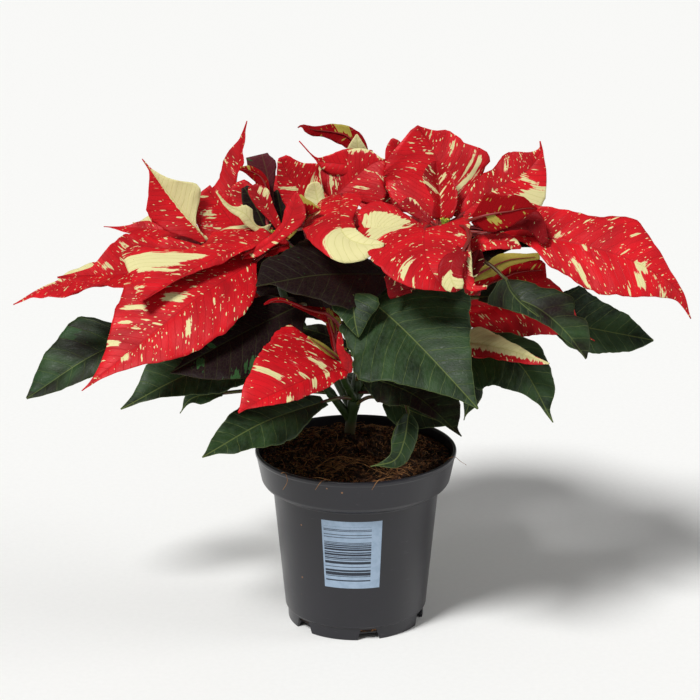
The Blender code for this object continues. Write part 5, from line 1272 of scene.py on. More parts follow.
def unit(vectors: np.ndarray) -> np.ndarray:
    """Scales each vector to length 1."""
    return vectors / np.linalg.norm(vectors, axis=-1, keepdims=True)


def travelled(samples: np.ndarray) -> np.ndarray:
    """How far along the line through the samples each of them is."""
    return np.r_[0, np.cumsum(np.linalg.norm(np.diff(samples, axis=0), axis=1))]


def run_length(samples: np.ndarray) -> float:
    """The length of a line through the samples."""
    return float(np.linalg.norm(np.diff(samples, axis=0), axis=1).sum())


def carried_frames(spine: np.ndarray, face: Sequence[float]) -> tuple[np.ndarray, np.ndarray, np.ndarray]:
    """Frames along a line that turn no more than they must.

    Args:
        spine: Samples of the line.
        face: The way that the frame's upper side looks in the middle of the line.

    Returns:
        The direction, the upper side's normal and the rightward direction at each sample.
    """
    tangent = unit(np.gradient(spine, axis=0))
    normal = np.zeros_like(spine)
    middle = len(spine) // 2
    facing = np.asarray(face, float)
    normal[middle] = unit(facing - (facing @ tangent[middle]) * tangent[middle])
    for order, back in ((range(middle + 1, len(spine)), -1), (range(middle - 1, -1, -1), 1)):
        for i in order:
            carried = normal[i + back]
            normal[i] = unit(carried - (carried @ tangent[i]) * tangent[i])
    return tangent, normal, np.cross(tangent, normal)


def grid_faces(rows: int, columns: int, wrap: bool = False) -> Faces:
    """The quads of a grid of points.

    Args:
        rows: How many rows of points there are.
        columns: How many points a row has.
        wrap: Whether the last point of a row joins the first.

    Returns:
        Faces whose normal is the column direction crossed with the row direction.
    """
    steps = columns if wrap else columns - 1
    return [(row * columns + place, row * columns + (place + 1) % columns,
             (row + 1) * columns + (place + 1) % columns, (row + 1) * columns + place)
            for row in range(rows - 1) for place in range(steps)]


def closed_rings(rings: int, sides: int) -> Faces:
    """The faces of a stack of rings that a point closes at each end.

    Args:
        rings: How many rings there are.
        sides: How many points a ring has.

    Returns:
        The faces. The two closing points come after the rings' points.
    """
    foot, last = rings * sides, (rings - 1) * sides
    faces = grid_faces(rings, sides, wrap=True)
    faces += [(foot, (place + 1) % sides, place) for place in range(sides)]
    return faces + [(foot + 1, last + place, last + (place + 1) % sides) for place in range(sides)]


def linked(name: str, data: bpy.types.ID) -> bpy.types.Object:
    """Makes an object and links it to the scene.

    Args:
        name: Its name.
        data: Its mesh, lamp or lens.

    Returns:
        The new object.
    """
    made = bpy.data.objects.new(name, data)
    bpy.context.scene.collection.objects.link(made)
    return made


def settled(obj: bpy.types.Object) -> bpy.types.Object:
    """Gives an object its evaluated mesh in place of its modifiers.

    Args:
        obj: The object.

    Returns:
        The same object.
    """
    bpy.context.view_layer.update()
    mesh = bpy.data.meshes.new_from_object(obj.evaluated_get(bpy.context.evaluated_depsgraph_get()))
    obj.modifiers.clear()
    obj.data = mesh
    return obj


class PieceMesh:
    """Gathers the sheets and bars of one piece, with the values that its finishes read."""

    def __init__(self) -> None:
        """Starts empty."""
        self.points: list[np.ndarray] = []
        self.faces: Faces = []
        self.slots: list[int] = []
        self.values: dict[str, list[np.ndarray]] = {"vein": [], "habit": [], "marks": []}
        self.count = 0

    def put(self, points: np.ndarray, faces: Iterable[tuple[int, ...]], slot: int,
            **values: np.ndarray | Sequence[float]) -> None:
        """Adds one closed shape.

        Args:
            points: Its vertices in mm.
            faces: Its faces, as numbers into points.
            slot: The material slot of all its faces.
            values: What each vertex, or all of them alike, gives the finishes: vein, habit and marks.
        """
        before = len(self.faces)
        self.faces += [tuple(int(corner) + self.count for corner in face) for face in faces]
        self.slots += [slot] * (len(self.faces) - before)
        self.points.append(points)
        self.count += len(points)
        for name, kept in self.values.items():
            kept.append(np.broadcast_to(np.asarray(values.get(name, (0.0, 0.0, 0.0)), float),
                                        (len(points), 3)))

    def bar(self, samples: np.ndarray, radii: Sequence[float] | np.ndarray, sides: int, slot: int,
            squeeze: float = 1.0, streaks: float = 0.0) -> None:
        """Adds a round bar along a line, closed at both ends.

        Args:
            samples: The line's points.
            radii: The radius at each point.
            sides: How many sides the bar has.
            slot: Its material slot.
            squeeze: How much flatter it is one way than the other.
            streaks: Picks its streaks.
        """
        _, normal, right = carried_frames(samples, (0.31, -0.42, 0.85))
        angles = np.linspace(0, 2 * np.pi, sides, endpoint=False)
        radius = np.asarray(radii, float)[:, None, None]
        rings = samples[:, None] + radius * (np.cos(angles)[None, :, None] * normal[:, None] * squeeze
                                             + np.sin(angles)[None, :, None] * right[:, None])
        points = np.vstack([rings.reshape(-1, 3), samples[:1], samples[-1:]])
        along = travelled(samples)
        around = np.outer(np.asarray(radii), np.minimum(angles, 2 * np.pi - angles)).ravel()
        vein = np.stack([np.r_[around, 0, 0], np.r_[np.repeat(along, sides), along[0], along[-1]],
                         np.full(len(points), streaks)], axis=1)
        self.put(points, closed_rings(len(samples), sides), slot, vein=vein)

    def piece(self, name: str, materials: Sequence[bpy.types.Material]) -> bpy.types.Object:
        """Makes the object.

        Args:
            name: The object's name.
            materials: Its material slots, in order.

        Returns:
            The new object, linked to the scene.
        """
        mesh = bpy.data.meshes.new(name)
        mesh.from_pydata(np.vstack(self.points) * MM, [], self.faces)
        mesh.polygons.foreach_set("material_index", self.slots)
        for label, kept in self.values.items():
            layer = mesh.attributes.new(label, "FLOAT_VECTOR", "POINT")
            layer.data.foreach_set("vector", np.vstack(kept).astype(np.float32).ravel())
        for material in materials:
            mesh.materials.append(material)
        mesh.shade_smooth()
        mesh.update()
        return linked(name, mesh)


@dataclass(frozen=True)
class BladeShaper:
    """Turns a blade's measurements into its thin closed sheet and its stalk.

    Sizes are in mm. Waves, notches and ripples are sines along the margin: waves is how many there are, and
    each of the others is a height and a number of half turns.
    """

    row_step: float = 2.0
    row_limits: tuple[int, int] = (14, 60)
    column_limits: tuple[int, int] = (4, 14)
    thickness: float = 0.42
    margin_thickness: float = 0.12
    margin_taper: float = 3.0
    end_width: float = 0.35
    widest: float = 0.38
    base: float = 0.7
    blend: float = 0.012
    waves: float = 1.6
    wave_offset: float = 1.3
    notching: float = 0.016
    notches: Sines = ((1.0, 14), (0.7, 33))
    ripple: float = 0.8
    ripples: Sines = ((0.7, 9), (0.4, 19))
    vein_slope: tuple[float, float] = (0.7, 0.64)
    vein_bend: float = 0.006
    spacing_base: float = 4.5
    spacing_growth: float = 0.05
    full_length: float = 90.0
    fullness: float = 1.5
    puff: float = 0.55
    puff_power: float = 0.7
    groove: float = 0.4
    groove_width: float = 1.6
    pinch_reach: float = 0.3
    lobe_reach: float = 0.3
    turn_steps: int = 4
    patch_blur: float = 8.0
    spot_shift: float = 7.3
    streak_shift: float = 3.1
    rib_depth: float = 0.35
    rib_places: tuple[float, ...] = (0.06, 0.2, 0.4, 0.6, 0.8, 0.93)
    stalk_steps: int = 34
    stalk_sides: int = 7
    foot_swelling: float = 0.35
    foot_reach: float = 1.6

    def shares(self, blade: Blade, along: np.ndarray, half: int) -> np.ndarray:
        """The share of the full half width at each point along one side of the blade.

        Args:
            blade: The blade.
            along: How far out each point is, from 0 to 1.
            half: 0 for the right half and 1 for the left.

        Returns:
            The shares.
        """
        if blade.outline:
            ends, wide = zip(*blade.outline[half])
            spans = [np.interp(along + shift, ends, wide) for shift in (-self.blend, 0, self.blend)]
            return np.mean(spans, axis=0) / blade.width[half]
        swell = np.sin(np.pi * np.clip(along, 0, 1) ** (math.log(0.5) / math.log(self.widest)))
        towards_tip = np.clip((along - self.widest) / (1 - self.widest), 0, 1)
        return np.clip(swell, 0, 1) ** (self.base + (blade.tip - self.base) * towards_tip)

    def patch_depth(self, blade: Blade, side: int, out: np.ndarray, reach: np.ndarray,
                    place: np.ndarray) -> np.ndarray:
        """How deep in a patch each point is.

        Args:
            blade: The blade.
            side: 1 for the right half and -1 for the left.
            out: Each point's share of the half width.
            reach: The half width at each point in mm.
            place: Where each point's side vein starts, in mm along the midrib.

        Returns:
            0 well outside the patches, 0.5 on their edges and 1 well inside them.
        """
        depth = np.full(out.shape, -self.patch_blur)
        for patch in blade.patches:
            if patch.side == side:
                inner_room = (out - patch.inner) * reach if patch.inner > 0 else np.inf
                inside = np.minimum(patch.spread - np.abs(place - patch.place),
                                    np.minimum(inner_room, (patch.outer - out) * reach))
                depth = np.maximum(depth, inside)
        return np.clip(0.5 + depth / self.patch_blur, 0, 1)

    def section(self, blade: Blade, curl: float, along: np.ndarray, steps: int) -> Iterable[np.ndarray]:
        """The cross-section of one half of a blade at each row, for a half width of 1.

        Args:
            blade: The blade.
            curl: How many degrees the half turns up between the midrib and its margin.
            along: How far out each row is, from 0 to 1.
            steps: How many columns the half has.

        Returns:
            How far sideways and how far up each point of each row lies.
        """
        fine = steps * self.turn_steps
        out = np.linspace(0, 1, fine + 1)[None]
        angle = blade.fold + blade.pinch * np.exp(-(along[:, None] / self.pinch_reach) ** 2) + curl * out
        angle = np.radians(0.5 * (angle[:, 1:] + angle[:, :-1]))
        start = np.zeros((len(along), 1))
        runs = (np.hstack([start, np.cumsum(part(angle), axis=1)]) for part in (np.cos, np.sin))
        return (run[:, ::self.turn_steps] / fine for run in runs)

    def sines(self, along: np.ndarray, waves: Sines, phases: Iterable[float]) -> np.ndarray:
        """The sum of sines along the blade, each with its height, its number of half turns and its phase."""
        return sum(high * np.sin(turns * np.pi * along + phase)
                   for (high, turns), phase in zip(waves, phases))

    def sheet(self, blade: Blade, seed: int, mesh: PieceMesh) -> tuple[np.ndarray, np.ndarray]:
        """Adds the blade's sheet to a piece.

        Args:
            blade: The blade.
            seed: Picks its waves and spots.
            mesh: The piece that it belongs to.

        Returns:
            Samples of its midrib and the upper side's normal at each.
        """
        phases = np.random.default_rng(seed).uniform(0, 2 * np.pi, (2, 2, 2))
        spine = resampled(blade.path, SPINE_STEPS)
        length = run_length(spine)
        rows = int(np.clip(length / self.row_step, *self.row_limits)) + 1
        half_columns = int(np.clip(max(blade.width) / self.row_step, *self.column_limits))
        columns = 2 * half_columns + 1
        frames = carried_frames(spine, blade.face)
        along, across = np.meshgrid(np.linspace(0, 1, rows), np.linspace(-1, 1, columns), indexing="ij")
        stations = np.linspace(0, 1, SPINE_STEPS)
        centre, heading, normal, right = (
            np.stack([np.interp(along, stations, values[:, axis]) for axis in range(3)], axis=2)
            for values in (spine, *frames))
        points, vein, marks = (np.zeros_like(centre) for _ in range(3))
        spacing = self.spacing_base + self.spacing_growth * length
        for half, (side, turns) in enumerate(zip((1, -1), phases)):
            mine = (slice(None), slice(half_columns, None, side))
            on_side = along[mine]
            share = self.shares(blade, on_side, half)
            rough = 1 + self.notching * self.sines(on_side, self.notches, turns[0])
            reach = np.maximum(blade.width[half] * share * rough, self.end_width)
            out = np.abs(across[mine])
            section = self.section(blade, blade.curl[half], on_side[:, 0], half_columns)
            sideways, lift = (reach * run for run in section)
            phase = 2 * np.pi * self.waves * on_side + (self.wave_offset if side > 0 else 0)
            fullness = np.minimum(1, self.fullness * share)
            lift += blade.wave * out ** 2 * np.sin(phase) * fullness
            from_rib = out * reach
            place = on_side * length - self.vein_slope[half] * from_rib - self.vein_bend * from_rib ** 2
            body = fullness * min(1.0, length / self.full_length)
            swelling = (0.5 - 0.5 * np.cos(2 * np.pi * place / spacing)) ** self.puff_power
            lift += self.puff * body * swelling * np.sin(np.pi * np.clip(out, 0, 1)) ** self.puff_power
            lift -= self.groove * body * np.exp(-(from_rib / self.groove_width) ** 2)
            lift += self.ripple * body * out ** 3 * self.sines(on_side, self.ripples, turns[1])
            back = blade.lobes[half] * out ** 2 * np.clip(1 - on_side / self.lobe_reach, 0, 1) ** 2
            points[mine] = (centre[mine] - back[..., None] * heading[mine]
                            + side * sideways[..., None] * unit(right[mine])
                            + lift[..., None] * unit(normal[mine]))
            spots = np.full(place.shape, self.spot_shift * seed)
            vein[mine] = np.stack([side * from_rib, place, spots], axis=2)
            depth = self.patch_depth(blade, side, out, reach, place)
            depth[:, 0] = np.maximum(depth[:, 0], marks[:, half_columns, 0])
            marks[mine] = np.stack([depth, np.ones(depth.shape), (1 - out) * reach], axis=2)
        wall = unit(np.cross(np.gradient(points, axis=1), np.gradient(points, axis=0)))
        thick = self.margin_thickness + (self.thickness - self.margin_thickness) * np.minimum(
            1, self.margin_taper * (1 - np.abs(across)))
        shift = 0.5 * thick[..., None] * wall
        size = rows * columns
        faces = grid_faces(rows, columns)
        faces += [tuple(size + corner for corner in reversed(face)) for face in faces]
        ring = [*range(columns), *range(2 * columns - 1, size, columns),
                *range(size - 2, size - columns - 1, -1), *range(size - 2 * columns, 0, -columns)]
        faces += [(after, before, size + before, size + after)
                  for before, after in zip(ring, ring[1:] + ring[:1])]
        points, vein, marks = (np.vstack([upper.reshape(-1, 3), lower.reshape(-1, 3)]) for upper, lower in (
            (points + shift, points - shift), (vein, vein), (marks, marks * (1, 0, 1))))
        habit = (spacing, blade.maroon, blade.flecks)
        mesh.put(points, faces, Skin.BLADE, vein=vein, habit=habit, marks=marks)
        return spine, frames[1]

    def rib_radius(self, radius: float, along: Any) -> Any:
        """How thick a rib still is at a share of the blade's length."""
        return radius * (1 - along) ** 1.3 + 0.15

    def blade(self, blade: Blade, start: np.ndarray, radius: float, seed: int, mesh: PieceMesh) -> None:
        """Adds a blade with its stalk, which runs on under the midrib as its rib.

        Args:
            blade: The blade.
            start: Where the stalk leaves the stem.
            radius: The stalk's radius in mm.
            seed: Picks the blade's waves and spots.
            mesh: The piece that it belongs to.
        """
        spine, normal = self.sheet(blade, seed, mesh)
        gap = float(np.linalg.norm(spine[0] - start))
        lead = spine[0] - unit(spine[1] - spine[0]) * 0.35 * gap
        middle = 0.5 * (0.5 * (start + spine[0]) + lead)
        last = SPINE_STEPS - 1
        under = [spine[i] - unit(normal[i]) * (self.rib_depth + self.rib_radius(radius, i / last))
                 for i in (round(share * last) for share in self.rib_places)]
        samples = resampled([start, middle, spine[0] - unit(normal[0]) * 0.45 * radius, *under],
                            self.stalk_steps)
        run = travelled(samples)
        share = np.clip((run - gap) / max(run[-1] - gap, 1), 0, 1)
        radii = self.rib_radius(radius, share) * (1 + self.foot_swelling * np.exp(-run / self.foot_reach))
        mesh.bar(samples, radii, self.stalk_sides, Skin.STALK, streaks=self.streak_shift * seed)


def turned(name: str, profile: Profile, sides: int) -> bpy.types.Object:
    """A turned solid that closes on the axis at both ends.

    Args:
        name: The object's name.
        profile: Radius and height of its outline in mm; the first and last radius are 0.
        sides: How many steps the turn has.

    Returns:
        The new object.
    """
    angles = np.linspace(0, 2 * np.pi, sides, endpoint=False)
    rings = [(radius * np.cos(angles), radius * np.sin(angles), np.full(sides, height))
             for radius, height in profile[1:-1]]
    points = np.stack(rings).transpose(0, 2, 1).reshape(-1, 3)
    points = np.vstack([points, (0, 0, profile[0][1]), (0, 0, profile[-1][1])])
    mesh = bpy.data.meshes.new(name)
    mesh.from_pydata(points * MM, [], closed_rings(len(rings), sides))
    shape = bmesh.new()
    shape.from_mesh(mesh)
    bmesh.ops.recalc_face_normals(shape, faces=shape.faces)
    shape.to_mesh(mesh)
    shape.free()
    mesh.shade_smooth()
    return linked(name, mesh)


def rounded(profile: Profile, radius: float, steps: int = 3) -> Profile:
    """Rounds an outline's corners.

    Args:
        profile: The outline's corners.
        radius: How far before each corner its rounding starts, at most.
        steps: How many pieces each rounding has.

    Returns:
        The rounded outline.
    """
    corners = [np.array(corner, float) for corner in profile]
    smooth = [tuple(corners[0])]
    for before, corner, after in zip(corners, corners[1:], corners[2:]):
        back, ahead = before - corner, after - corner
        start = corner + back * min(0.45, radius / np.linalg.norm(back))
        end = corner + ahead * min(0.45, radius / np.linalg.norm(ahead))
        for share in np.linspace(0, 1, steps + 1):
            bent = (1 - share) ** 2 * start + 2 * share * (1 - share) * corner + share ** 2 * end
            smooth.append((float(bent[0]), float(bent[1])))
    smooth.append(tuple(corners[-1]))
    return smooth


def rides(piece: bpy.types.Object, slot: Slot) -> None:
    """Makes a finished piece part of the plant's one body, and reports it.

    Args:
        piece: The piece.
        slot: Not used.
    """
    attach(piece, BODY)
    LOG.info("%s: %d faces", piece.name, len(piece.data.polygons))


@dataclass
class GrowersPot:
    """The moulded 13 cm pot with its collar, its foot ring and the drainage notches in it."""

    rim: float = 65.0
    height: float = 116.0
    collar_foot: float = 61.0
    collar_depth: float = 20.7
    body_top: float = 53.7
    body_foot: float = 46.1
    foot_ring: float = 44.3
    ring_height: float = 9.0
    wall: float = 1.3
    rim_wall: float = 2.0
    floor_under: float = 3.0
    floor_thick: float = 1.4
    centre_pad: float = 9.0
    sides: int = 160
    notches: int = 6
    notch_top: float = 10.0
    notch_foot: float = 16.0
    notch_height: float = 7.5
    notch_depth: float = 9.0
    notch_drop: float = 2.0
    first_notch: float = -79.4
    corner: float = 0.55
    sharp_from: float = 50.0
    finish: MouldedPlastic = field(default_factory=MouldedPlastic)

    @property
    def step(self) -> float:
        """The height of the collar's foot."""
        return self.height - self.collar_depth

    def body_radius(self, height: float) -> float:
        """The outer radius of the tapered body at a height."""
        low, high = self.ring_height + 0.5, self.step - 4.6
        return self.body_foot + (self.body_top - self.body_foot) * (height - low) / (high - low)

    def profile(self) -> Profile:
        """The wall's outline, from the middle of the floor round the rim to the middle of the underside.

        Returns:
            Radius and height of each corner in mm.
        """
        inner, step, top, rim = self.collar_foot - self.wall, self.step, self.height, self.rim
        body_top, body_foot, foot_ring = self.body_top, self.body_foot, self.foot_ring
        floor, ring_height = self.floor_under + self.floor_thick, self.ring_height
        return [
            (0, floor), (body_foot - 3.4, floor), (body_foot - self.wall, ring_height + 2),
            (body_top - self.wall, step - 4.5), (body_top + 0.2, step - 2.0), (inner - 1.2, step + 0.4),
            (inner, step + 2.6), (rim - self.rim_wall - 0.4, top - 1.0), (rim - self.rim_wall, top),
            (rim - 0.5, top), (rim, top - 0.7), (rim, top - 2.4), (rim - 0.7, top - 3.2),
            (self.collar_foot, step + 1.2), (self.collar_foot - 1.4, step - 1.0),
            (body_top + 1.6, step - 2.9), (body_top, step - 4.6), (body_foot, ring_height + 0.5),
            (foot_ring + 0.3, ring_height - 0.5), (foot_ring, 0.4), (foot_ring - 0.4, 0),
            (foot_ring - 1.8, 0), (foot_ring - 2.2, self.floor_under), (self.centre_pad, self.floor_under),
            (self.centre_pad, 0), (0, 0)]

    def cutter(self, number: int) -> bpy.types.Object:
        """The tapered block that cuts one notch.

        Args:
            number: Which notch it is.

        Returns:
            The block.
        """
        angle = math.radians(self.first_notch + number * 360 / self.notches)
        shape = bmesh.new()
        bmesh.ops.create_cube(shape, size=1.0)
        for vert in shape.verts:
            width = self.notch_top if vert.co.z > 0 else self.notch_foot
            out = self.foot_ring + 0.5 + self.notch_depth * vert.co.x
            side = width * vert.co.y
            high = self.notch_height if vert.co.z > 0 else -self.notch_drop
            vert.co = Vector((out * math.cos(angle) - side * math.sin(angle),
                              out * math.sin(angle) + side * math.cos(angle), high)) * MM
        mesh = bpy.data.meshes.new("notch_cutter")
        shape.to_mesh(mesh)
        shape.free()
        return linked("notch_cutter", mesh)

    def build(self) -> None:
        """Turns the wall, cuts its notches and dresses it."""
        pot = turned("pot_shell", rounded(self.profile(), self.corner), self.sides)
        cutters = [self.cutter(number) for number in range(self.notches)]
        for cutter in cutters:
            cut = pot.modifiers.new("notch", "BOOLEAN")
            cut.operation = "DIFFERENCE"
            cut.object = cutter
        settled(pot)
        for cutter in cutters:
            bpy.data.objects.remove(cutter)
        pot.data.set_sharp_from_angle(angle=math.radians(self.sharp_from))
        pot.data.materials.append(self.finish.material())
        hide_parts("pot")
        rides(pot, Slot.POT)


@dataclass
class PrintPanel:
    """The pale printed panel on the front of the pot: plain generic bars and no lettering."""

    pot: GrowersPot
    middle_angle: float = -93.0
    width: float = 38.0
    foot: float = 38.2
    top: float = 85.4
    proud: float = 0.06
    columns: int = 24
    rows: int = 6
    foot_share: float = 0.93
    widening: float = 0.11
    finish: PrintedInk = field(default_factory=PrintedInk)

    def build(self) -> None:
        """Lays the film of ink on the pot's tapered wall."""
        columns, rows = self.columns, self.rows
        shape = bmesh.new()
        print_map = shape.loops.layers.uv.new("print")
        knots = []
        for row in range(rows + 1):
            high = self.foot + (self.top - self.foot) * row / rows
            around = self.pot.body_radius(high)
            half = 0.5 * self.width / around * (self.foot_share + self.widening * row / rows)
            for column in range(columns + 1):
                angle = math.radians(self.middle_angle) + half * (2 * column / columns - 1)
                out = around + self.proud
                knots.append(shape.verts.new((out * math.cos(angle) * MM, out * math.sin(angle) * MM,
                                              high * MM)))
        shape.verts.ensure_lookup_table()
        for corners in grid_faces(rows + 1, columns + 1):
            face = shape.faces.new([knots[corner] for corner in corners])
            for loop, corner in zip(face.loops, corners):
                loop[print_map].uv = (corner % (columns + 1) / columns, corner // (columns + 1) / rows)
        mesh = bpy.data.meshes.new("pot_print_panel")
        shape.to_mesh(mesh)
        shape.free()
        mesh.shade_smooth()
        mesh.materials.append(self.finish.material())
        rides(linked("pot_print_panel", mesh), Slot.POT)


@dataclass(frozen=True)
class Clump:
    """A tuft of coir on the soil: its place, its radius, its rise and how thick its fibres lie."""

    x: float
    y: float
    radius: float
    rise: float
    thick: float


@dataclass
class Compost:
    """The peat that fills the pot, with its loose crumbs and its coir fibres."""

    pot: GrowersPot
    edge_height: float = 110.0
    mound_rise: float = 10.0
    mound: tuple[float, float] = (0.0, 16.0)
    mound_spread: float = 34.0
    lump_rise: float = 1.3
    grain_rises: Point = (2.2, 1.5, 0.9)
    grain_scales: Point = (0.16, 0.42, 1.1)
    crumb_reach: float = 58.5
    rim_fibre_steps: int = 22
    rings: int = 62
    sides: int = 200
    seed: int = 11
    clumps: tuple[Clump, ...] = (
        Clump(-8, -38, 17, 5.0, 1.0), Clump(12, -34, 14, 2.5, 0.7), Clump(38, -28, 13, 3.0, 0.8),
        Clump(48, -6, 11, 2.0, 0.6), Clump(-34, -30, 14, 1.0, 0.5), Clump(-20, 10, 16, 1.0, 0.4),
        Clump(24, 26, 18, 1.5, 0.6), Clump(-26, 34, 16, 1.5, 0.6))
    rim_fibres: tuple[tuple[Point, ...], ...] = (
        ((-44, -36, 112), (-47, -45, 115), (-44, -50, 117.5), (-43, -51, 112), (-46, -48, 105)),
        ((-38, -44, 112), (-30, -52, 114.5), (-24, -58, 117), (-16, -63.5, 117.5)),
        ((-18, -52, 112), (-18, -60, 117), (-22, -64.5, 116.5), (-25, -65.5, 112)),
        ((24, -48, 113), (20, -56, 116.5), (14, -63, 117.3), (10, -65.8, 112)),
        ((34, -44, 113), (28, -50, 117), (20, -55, 116), (10, -60, 115)),
        ((56, -18, 112), (61, -22, 117.5), (66.5, -25, 116), (70, -27, 113.5)),
        ((-14, -46, 116), (-2, -42, 121), (10, -46, 119), (20, -50, 115)),
        ((-26, -34, 114), (-14, -32, 121), (0, -38, 122), (12, -32, 117)))
    peat: Peat = field(default_factory=Peat)
    coir: Coir = field(default_factory=Coir)

    def height_at(self, x: float, y: float) -> float:
        """The height of the soil at a place: a mound behind the stem, lumps, clumps and crumbs.

        Args:
            x: How far right of the pot's middle the place is, in mm.
            y: How far behind it the place is.

        Returns:
            The height in mm.
        """
        from_mound = math.hypot(x - self.mound[0], y - self.mound[1])
        rise = self.mound_rise * math.exp(-(from_mound / self.mound_spread) ** 2)
        rise += self.lump_rise * (math.sin(0.31 * x + 1.1) * math.cos(0.27 * y)
                                  + 0.6 * math.sin(0.17 * (x + y) + 2))
        rise += sum(clump.rise * self.nearness(clump, x, y) for clump in self.clumps)
        place = Vector((x, y, 3.0))
        swell, lump, grain = (noise.noise(place * scale) for scale in self.grain_scales)
        rise += self.grain_rises[0] * swell + self.grain_rises[1] * abs(lump)
        rise += self.grain_rises[2] * grain
        edge = max(0.0, 1 - (math.hypot(x, y) / (self.pot.rim - self.pot.rim_wall - 1)) ** 4)
        return self.edge_height + rise * edge

    def nearness(self, clump: Clump, x: float, y: float) -> float:
        """1 in the middle of a clump, falling to 0 outside it."""
        return math.exp(-((x - clump.x) ** 2 + (y - clump.y) ** 2) / clump.radius ** 2)

    def top_edge(self) -> float:
        """Where the soil meets the collar's inner wall.

        Returns:
            The radius in mm.
        """
        inner = self.pot.collar_foot - self.pot.wall
        slope = (self.pot.rim - self.pot.rim_wall - 0.4 - inner) / (self.pot.collar_depth - 3.6)
        return inner + slope * (self.edge_height - self.pot.step - 2.6) - 0.4

    def build(self) -> None:
        """Builds the body of the soil."""
        pot, gap, edge = self.pot, 0.6, self.top_edge()
        inner, floor = pot.collar_foot - pot.wall, pot.floor_under + pot.floor_thick + CLEAR
        top = [(edge * share, self.edge_height) for share in np.linspace(0, 1, self.rings)]
        sides = [
            (inner - gap, pot.step + 2.9), (inner - 1.5 - gap, pot.step + 0.9),
            (pot.body_top - 0.2 - gap, pot.step - 1.5), (pot.body_top - pot.wall - gap, pot.step - 4.3),
            (pot.body_foot - pot.wall - gap, pot.ring_height + 2.2), (pot.body_foot - 3.6 - gap, floor),
            (0, floor)]
        soil = turned("compost", top + sides, self.sides)
        for vert in soil.data.vertices:
            if vert.co.z > (self.edge_height - 0.01) * MM:
                vert.co.z = self.height_at(vert.co.x / MM, vert.co.y / MM) * MM
        soil.data.materials.append(self.peat.material())
        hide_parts("soil")
        rides(soil, Slot.SOIL)

    def ground(self, name: str, reach: float) -> bpy.types.Object:
        """A copy of the soil's top to scatter things on.

        Args:
            name: The object's name.
            reach: Its radius in mm.

        Returns:
            A disc that follows the soil and carries how thick the coir lies, as the attribute clump.
        """
        shape = bmesh.new()
        bmesh.ops.create_grid(shape, x_segments=56, y_segments=56, size=reach)
        outside = [vert for vert in shape.verts if vert.co.xy.length > reach]
        bmesh.ops.delete(shape, geom=outside, context="VERTS")
        mesh = bpy.data.meshes.new(name)
        places = [(vert.co.x, vert.co.y) for vert in shape.verts]
        for vert, (x, y) in zip(shape.verts, places):
            vert.co = Vector((x, y, self.height_at(x, y))) * MM
        shape.to_mesh(mesh)
        shape.free()
        thick = [sum(clump.thick * self.nearness(clump, x, y) for clump in self.clumps) for x, y in places]
        layer = mesh.attributes.new("clump", "FLOAT", "POINT")
        layer.data.foreach_set("value", thick)
        return linked(name, mesh)

    def scatter(self, name: str, recipe: Recipe, shapes: Any, finish: bpy.types.Material,
                sizes: Mapping[str, float], reach: float) -> None:
        """Ends a geometry tree with its material, and scatters small things on the soil with it.

        Args:
            name: The new piece's name.
            recipe: The tree under construction.
            shapes: Its output with the realized shapes.
            finish: Their material.
            sizes: What each named input of the tree gets.
            reach: How far from the middle they lie, in mm.
        """
        recipe.add(Node.TREE_END, recipe.add(Node.DRESSED, shapes, finish))
        piece = self.ground(name, reach)
        spread = piece.modifiers.new("scatter", "NODES")
        spread.node_group = recipe.tree
        for item in recipe.tree.interface.items_tree:
            if getattr(item, "in_out", "") == "INPUT" and item.name in sizes:
                spread[item.identifier] = sizes[item.name]
        rides(settled(piece), Slot.SOIL)

    def loose_tree(self, name: str, inputs: Mapping[str, float]) -> tuple[Recipe, Any]:
        """Starts a geometry tree with named inputs.

        Args:
            name: The tree's name.
            inputs: Its inputs and their values.

        Returns:
            The tree under construction and its inputs by name.
        """
        tree = bpy.data.node_groups.new(name, "GeometryNodeTree")
        tree.interface.new_socket("Geometry", in_out="INPUT", socket_type="NodeSocketGeometry")
        for label, value in inputs.items():
            kind = "NodeSocketInt" if isinstance(value, int) else "NodeSocketFloat"
            tree.interface.new_socket(label, in_out="INPUT", socket_type=kind).default_value = value
        tree.interface.new_socket("Geometry", in_out="OUTPUT", socket_type="NodeSocketGeometry")
        recipe = Recipe(tree)
        return recipe, recipe.add(Node.TREE_START).outputs

    def crumbs(self, finish: bpy.types.Material) -> None:
        """Scatters loose crumbs of peat, 1 to 4 mm across.

        Args:
            finish: Their material.
        """
        sizes = {"Crumbs per m2": 120000.0, "Smallest": 0.5 * MM, "Largest": 1.7 * MM, "Seed": self.seed}
        recipe, given = self.loose_tree("loose_peat_crumbs", sizes)
        add = recipe.add
        places = add(Node.STREWN, given["Geometry"], given["Crumbs per m2"], given["Seed"])
        small, large = (add(Node.JOINED, *[given[name]] * 3) for name in ("Smallest", "Largest"))
        size = add(Node.RANDOM, small, large, given["Seed"])
        turn = add(Node.RANDOM, (0.0, 0.0, 0.0), (6.28, 6.28, 6.28))
        laid = add(Node.INSTANCES, places, add(Node.BALL, 1.0, 2), turn, size)
        # Noise of about 1 mm makes each ball lumpy, and sinks it a little.
        lumps = add(Node.VECTOR_ADD, add(Node.NOISE, None, 900.0, 2.0, output="Color"), (-0.5, -0.5, -0.4))
        rough = add(Node.MOVED, add(Node.REALIZED, laid), add(Node.VECTOR_SCALE, lumps, 1.6 * MM))
        self.scatter("compost_crumbs", recipe, rough, finish, sizes, self.crumb_reach)

